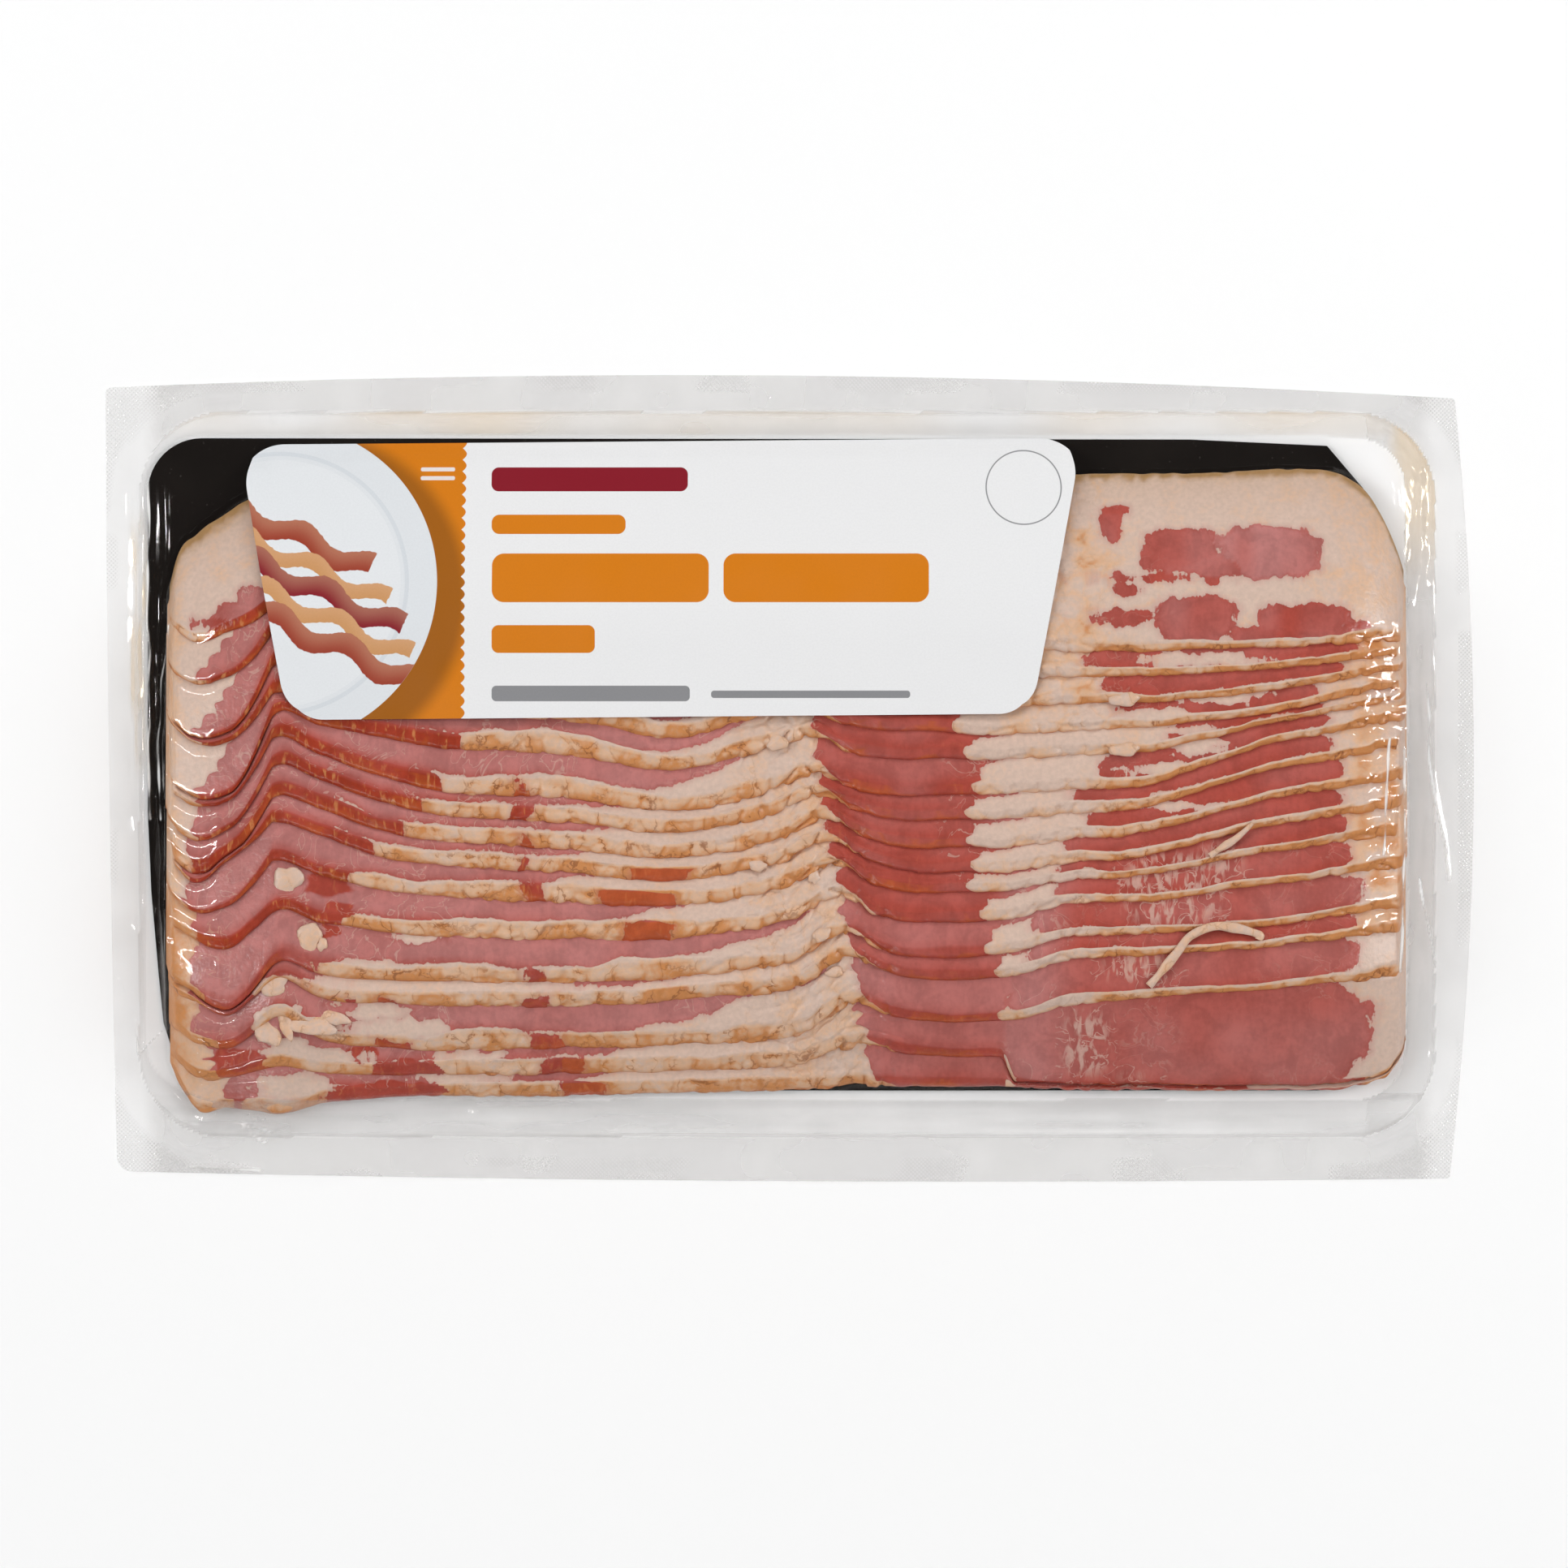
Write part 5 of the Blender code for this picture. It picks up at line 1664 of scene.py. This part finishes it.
# The strips on the plate: centre, half length and half width in photo pixels, and colour.
STRIPES = (
    (352, 655, 120, 15, "brick"), (366, 692, 128, 12, "tan"), (382, 724, 130, 15, "maroon"),
    (398, 760, 124, 12, "tan"), (410, 794, 108, 15, "brick"),
)
STRIPE_TURN = 0.42
STRIPE_EDGE = (0.75, 0.45, 0.28, 1)
STRIPE_BRICK, STRIPE_TAN = (0.33, 0.045, 0.022, 1), (0.60, 0.30, 0.12, 1)


def pixel_bar(left, right, top, bottom, corner):
    """A bar's centre, half size and corner radius, from its sides in photo pixels."""
    x0, y0 = photo_point(left, bottom)
    x1, y1 = photo_point(right, top)
    half = ((x1 - x0) / 2, (y1 - y0) / 2, 1.0)
    return ((x0 + x1) / 2, (y0 + y1) / 2, 0.0), half, corner * min(half[:2]) * 2


def label_material(settings):
    """The label's print: an orange band, a plate with strips on it, bars and a ring."""
    material, tree, surface = new_material("printed_label")
    point = stretched(tree, surface_point(tree), (1.0, 1.0, 0.0))
    parts = separated(tree, point)
    colours = {"orange": settings.orange, "maroon": settings.maroon, "grey": settings.grey}

    depth, length = BAND_SCALLOP
    band_x, _ = photo_point(BAND_RIGHT, 0)
    wave = calc(tree, "SINE", times(tree, parts[1], 2 * np.pi / (length * PHOTO_PIXEL)))
    reach = times_plus(tree, calc(tree, "ABSOLUTE", wave), depth * PHOTO_PIXEL, band_x)
    band = within(tree, minus(tree, parts[0], reach))
    colour = blend(tree, band, settings.paper, settings.orange)

    plate_x, plate_y = photo_point(*PLATE[:2])
    radius = PLATE[2] * PHOTO_PIXEL
    gap = distance(tree, point, (plate_x + SHADE_SHIFT[0], plate_y - SHADE_SHIFT[1], 0.0))
    shade = between(tree, gap, radius - 1.0 * MM, radius + 3.5 * MM, 0.62, 0.0)
    colour = blend(tree, times(tree, shade, band), colour, SHADE)
    middle = (plate_x, plate_y, 0.0)
    plate = use_group(tree, "Ring", point=point, centre=middle, radius=radius)["Disc"]
    inner = use_group(tree, "Ring", point=point, centre=middle, radius=radius * 0.80, line=0.9 * MM)
    china = blend(tree, times(tree, inner["Mask"], 0.5), CHINA, CHINA_LINE)
    china = blend(tree, times(tree, inner["Disc"], 0.5), china, CHINA_WELL)
    colour = blend(tree, times(tree, plate, band), colour, china)

    stripes = {"brick": STRIPE_BRICK, "tan": STRIPE_TAN, "maroon": settings.maroon}
    for column, row, half_length, half_width, ink in STRIPES:
        ribbon = use_group(
            tree, "Ribbon", point=point, centre=(*photo_point(column, row), 0.0), turn=STRIPE_TURN,
            half_length=half_length * PHOTO_PIXEL, half_width=half_width * PHOTO_PIXEL,
        )
        light = between(tree, ribbon["Across"], -1.0, 1.0, 0.0, 0.30)
        dyed = blend(tree, light, stripes[ink], STRIPE_EDGE)
        colour = blend(tree, times(tree, ribbon["Mask"], plate), colour, dyed)

    for left, right, top, bottom, corner, ink in LABEL_BARS:
        centre, half, rounding = pixel_bar(left, right, top, bottom, corner)
        bar = use_group(tree, "Bar", point=point, centre=centre, half_size=half, corner=rounding)["Mask"]
        colour = blend(tree, bar, colour, colours[ink])
    for sides in BAND_BARS:
        centre, half, rounding = pixel_bar(*sides, 0.4)
        bar = use_group(tree, "Bar", point=point, centre=centre, half_size=half, corner=rounding)["Mask"]
        colour = blend(tree, times(tree, bar, 0.85), colour, settings.paper)
    centre, radius = (*photo_point(*SEAL[:2]), 0.0), SEAL[2] * PHOTO_PIXEL
    seal = use_group(tree, "Ring", point=point, centre=centre, radius=radius, line=0.12 * MM)
    colour = blend(tree, seal["Mask"], colour, settings.grey)

    mottle = use_group(tree, "Mottle", point=point, coarse=90.0, fine=2200.0)
    tone = between(tree, mottle["Grain"], 0.2, 0.8, 0.975, 1.015)
    roughness = between(tree, mottle["Cloud"], 0.3, 0.7, 0.42, 0.55)
    shader = principled(
        tree, base_color=toned(tree, colour, tone), roughness=roughness, specular_ior_level=0.2,
        normal=bump(tree, mottle["Grain"], 0.12, 0.00006),
    )
    tree.links.new(shader.outputs[0], surface)
    return material


# The floor's paler mottling.
PALE_FLOOR = (0.93, 0.93, 0.94, 1)


class BACONPACK_OT_stage(bpy.types.Operator):
    """Build the floor, the soft lights and the camera straight above"""

    bl_idname = "baconpack.stage"
    bl_label = "Stage"

    def execute(self, context):
        settings = context.scene.bacon_stage
        scene = context.scene
        scene.view_settings.view_transform = "Standard"
        side = np.linspace(-2.5, 2.5, 6)
        x, y = np.meshgrid(side, side)
        points = np.stack([x, y, 0 * x - 0.0001], axis=-1)
        floor = mesh_piece("floor", points, grid_faces(6, 6), smooth=False)
        material, tree, surface = new_material("pale_floor")
        mottle = use_group(tree, "Mottle", point=surface_point(tree), coarse=3.0, fine=60.0)
        colour = blend(tree, times(tree, mottle["Cloud"], 0.04), settings.floor, PALE_FLOOR)
        tree.links.new(principled(tree, base_color=colour, roughness=0.8).outputs[0], surface)
        floor.data.materials.append(material)
        self.add_lights(scene, settings)
        self.add_camera(scene, settings)
        return {"FINISHED"}

    def add_lights(self, scene, settings):
        """Adds the grey world, four soft boxes, and four narrow ones that only gloss shows."""
        world = bpy.data.worlds.new("studio")
        world.use_nodes = True
        world.node_tree.nodes["Background"].inputs[0].default_value = (1.0, 1.0, 1.0, 1.0)
        world.node_tree.nodes["Background"].inputs[1].default_value = 0.10
        scene.world = world
        side, glint = settings.side_power, settings.glint_power
        lamps = [
            ("left_box", (-1.25, 0.25, 1.05), (0.9, 1.3), side, False),
            ("right_box", (1.25, 0.15, 1.05), (0.9, 1.3), side, False),
            ("far_box", (0.0, 1.35, 0.95), (1.4, 0.7), 0.9 * side, False),
            ("near_box", (0.0, -1.35, 0.95), (1.4, 0.7), 0.7 * side, False),
            ("right_glint", (0.80, 0.10, 0.75), (0.09, 0.30), 0.5 * glint, True),
            ("left_glint", (-0.78, 0.05, 0.78), (0.06, 0.40), 0.4 * glint, True),
            ("low_glint", (0.95, 0.25, 0.36), (0.10, 0.30), 0.5 * glint, True),
            ("near_glint", (-0.45, -0.80, 0.60), (0.30, 0.06), 0.15 * glint, True),
        ]
        for name, place, size, power, glossy in lamps:
            data = bpy.data.lights.new(name, "AREA")
            data.shape, data.energy = "RECTANGLE", power
            data.size, data.size_y = size
            lamp = bpy.data.objects.new(name, data)
            scene.collection.objects.link(lamp)
            lamp.location = place
            lamp.rotation_mode = "QUATERNION"
            lamp.rotation_quaternion = (-lamp.location).to_track_quat("-Z", "Y")
            lamp.visible_glossy, lamp.visible_diffuse = glossy, not glossy

    def add_camera(self, scene, settings):
        """Adds the camera high above the photo's middle, taking in what the photo does."""
        data = bpy.data.cameras.new("above")
        data.sensor_width = 36.0
        data.lens = data.sensor_width * settings.camera_height / (PHOTO_SIDE * PHOTO_PIXEL)
        data.clip_end = 20.0
        camera = bpy.data.objects.new("above", data)
        scene.collection.objects.link(camera)
        camera.location = (*photo_point(PHOTO_SIDE / 2, PHOTO_SIDE / 2), settings.camera_height)
        scene.camera = camera


OPERATORS = (
    BACONPACK_OT_board, BACONPACK_OT_slices, BACONPACK_OT_scraps,
    BACONPACK_OT_film, BACONPACK_OT_label, BACONPACK_OT_stage,
)
SETTINGS = {
    "bacon_slices": SliceSettings, "bacon_board": BoardSettings, "bacon_film": FilmSettings,
    "bacon_label": LabelSettings, "bacon_stage": StageSettings,
}


class BACONPACK_PT_panel(bpy.types.Panel):
    """Lists the steps that build the pack"""

    bl_label = "Bacon Pack"
    bl_idname = "BACONPACK_PT_panel"
    bl_space_type = "VIEW_3D"
    bl_region_type = "UI"
    bl_category = "Bacon Pack"

    def draw(self, context):
        for operator in OPERATORS:
            self.layout.operator(operator.bl_idname)


def register():
    """Registers the settings, the steps and the panel."""
    for group in SETTINGS.values():
        bpy.utils.register_class(group)
    for kind in (*OPERATORS, BACONPACK_PT_panel):
        bpy.utils.register_class(kind)
    for name, group in SETTINGS.items():
        setattr(bpy.types.Scene, name, PointerProperty(type=group))


def unregister():
    """Takes back what register() did."""
    for name in SETTINGS:
        delattr(bpy.types.Scene, name)
    for kind in (BACONPACK_PT_panel, *reversed(OPERATORS), *reversed(SETTINGS.values())):
        bpy.utils.unregister_class(kind)


def main():
    """Builds everything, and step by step."""
    register()
    make_groups()
    for operator in OPERATORS:
        group, name = operator.bl_idname.split(".")
        getattr(getattr(bpy.ops, group), name)()
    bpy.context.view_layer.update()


if __name__ == "__main__":
    main()
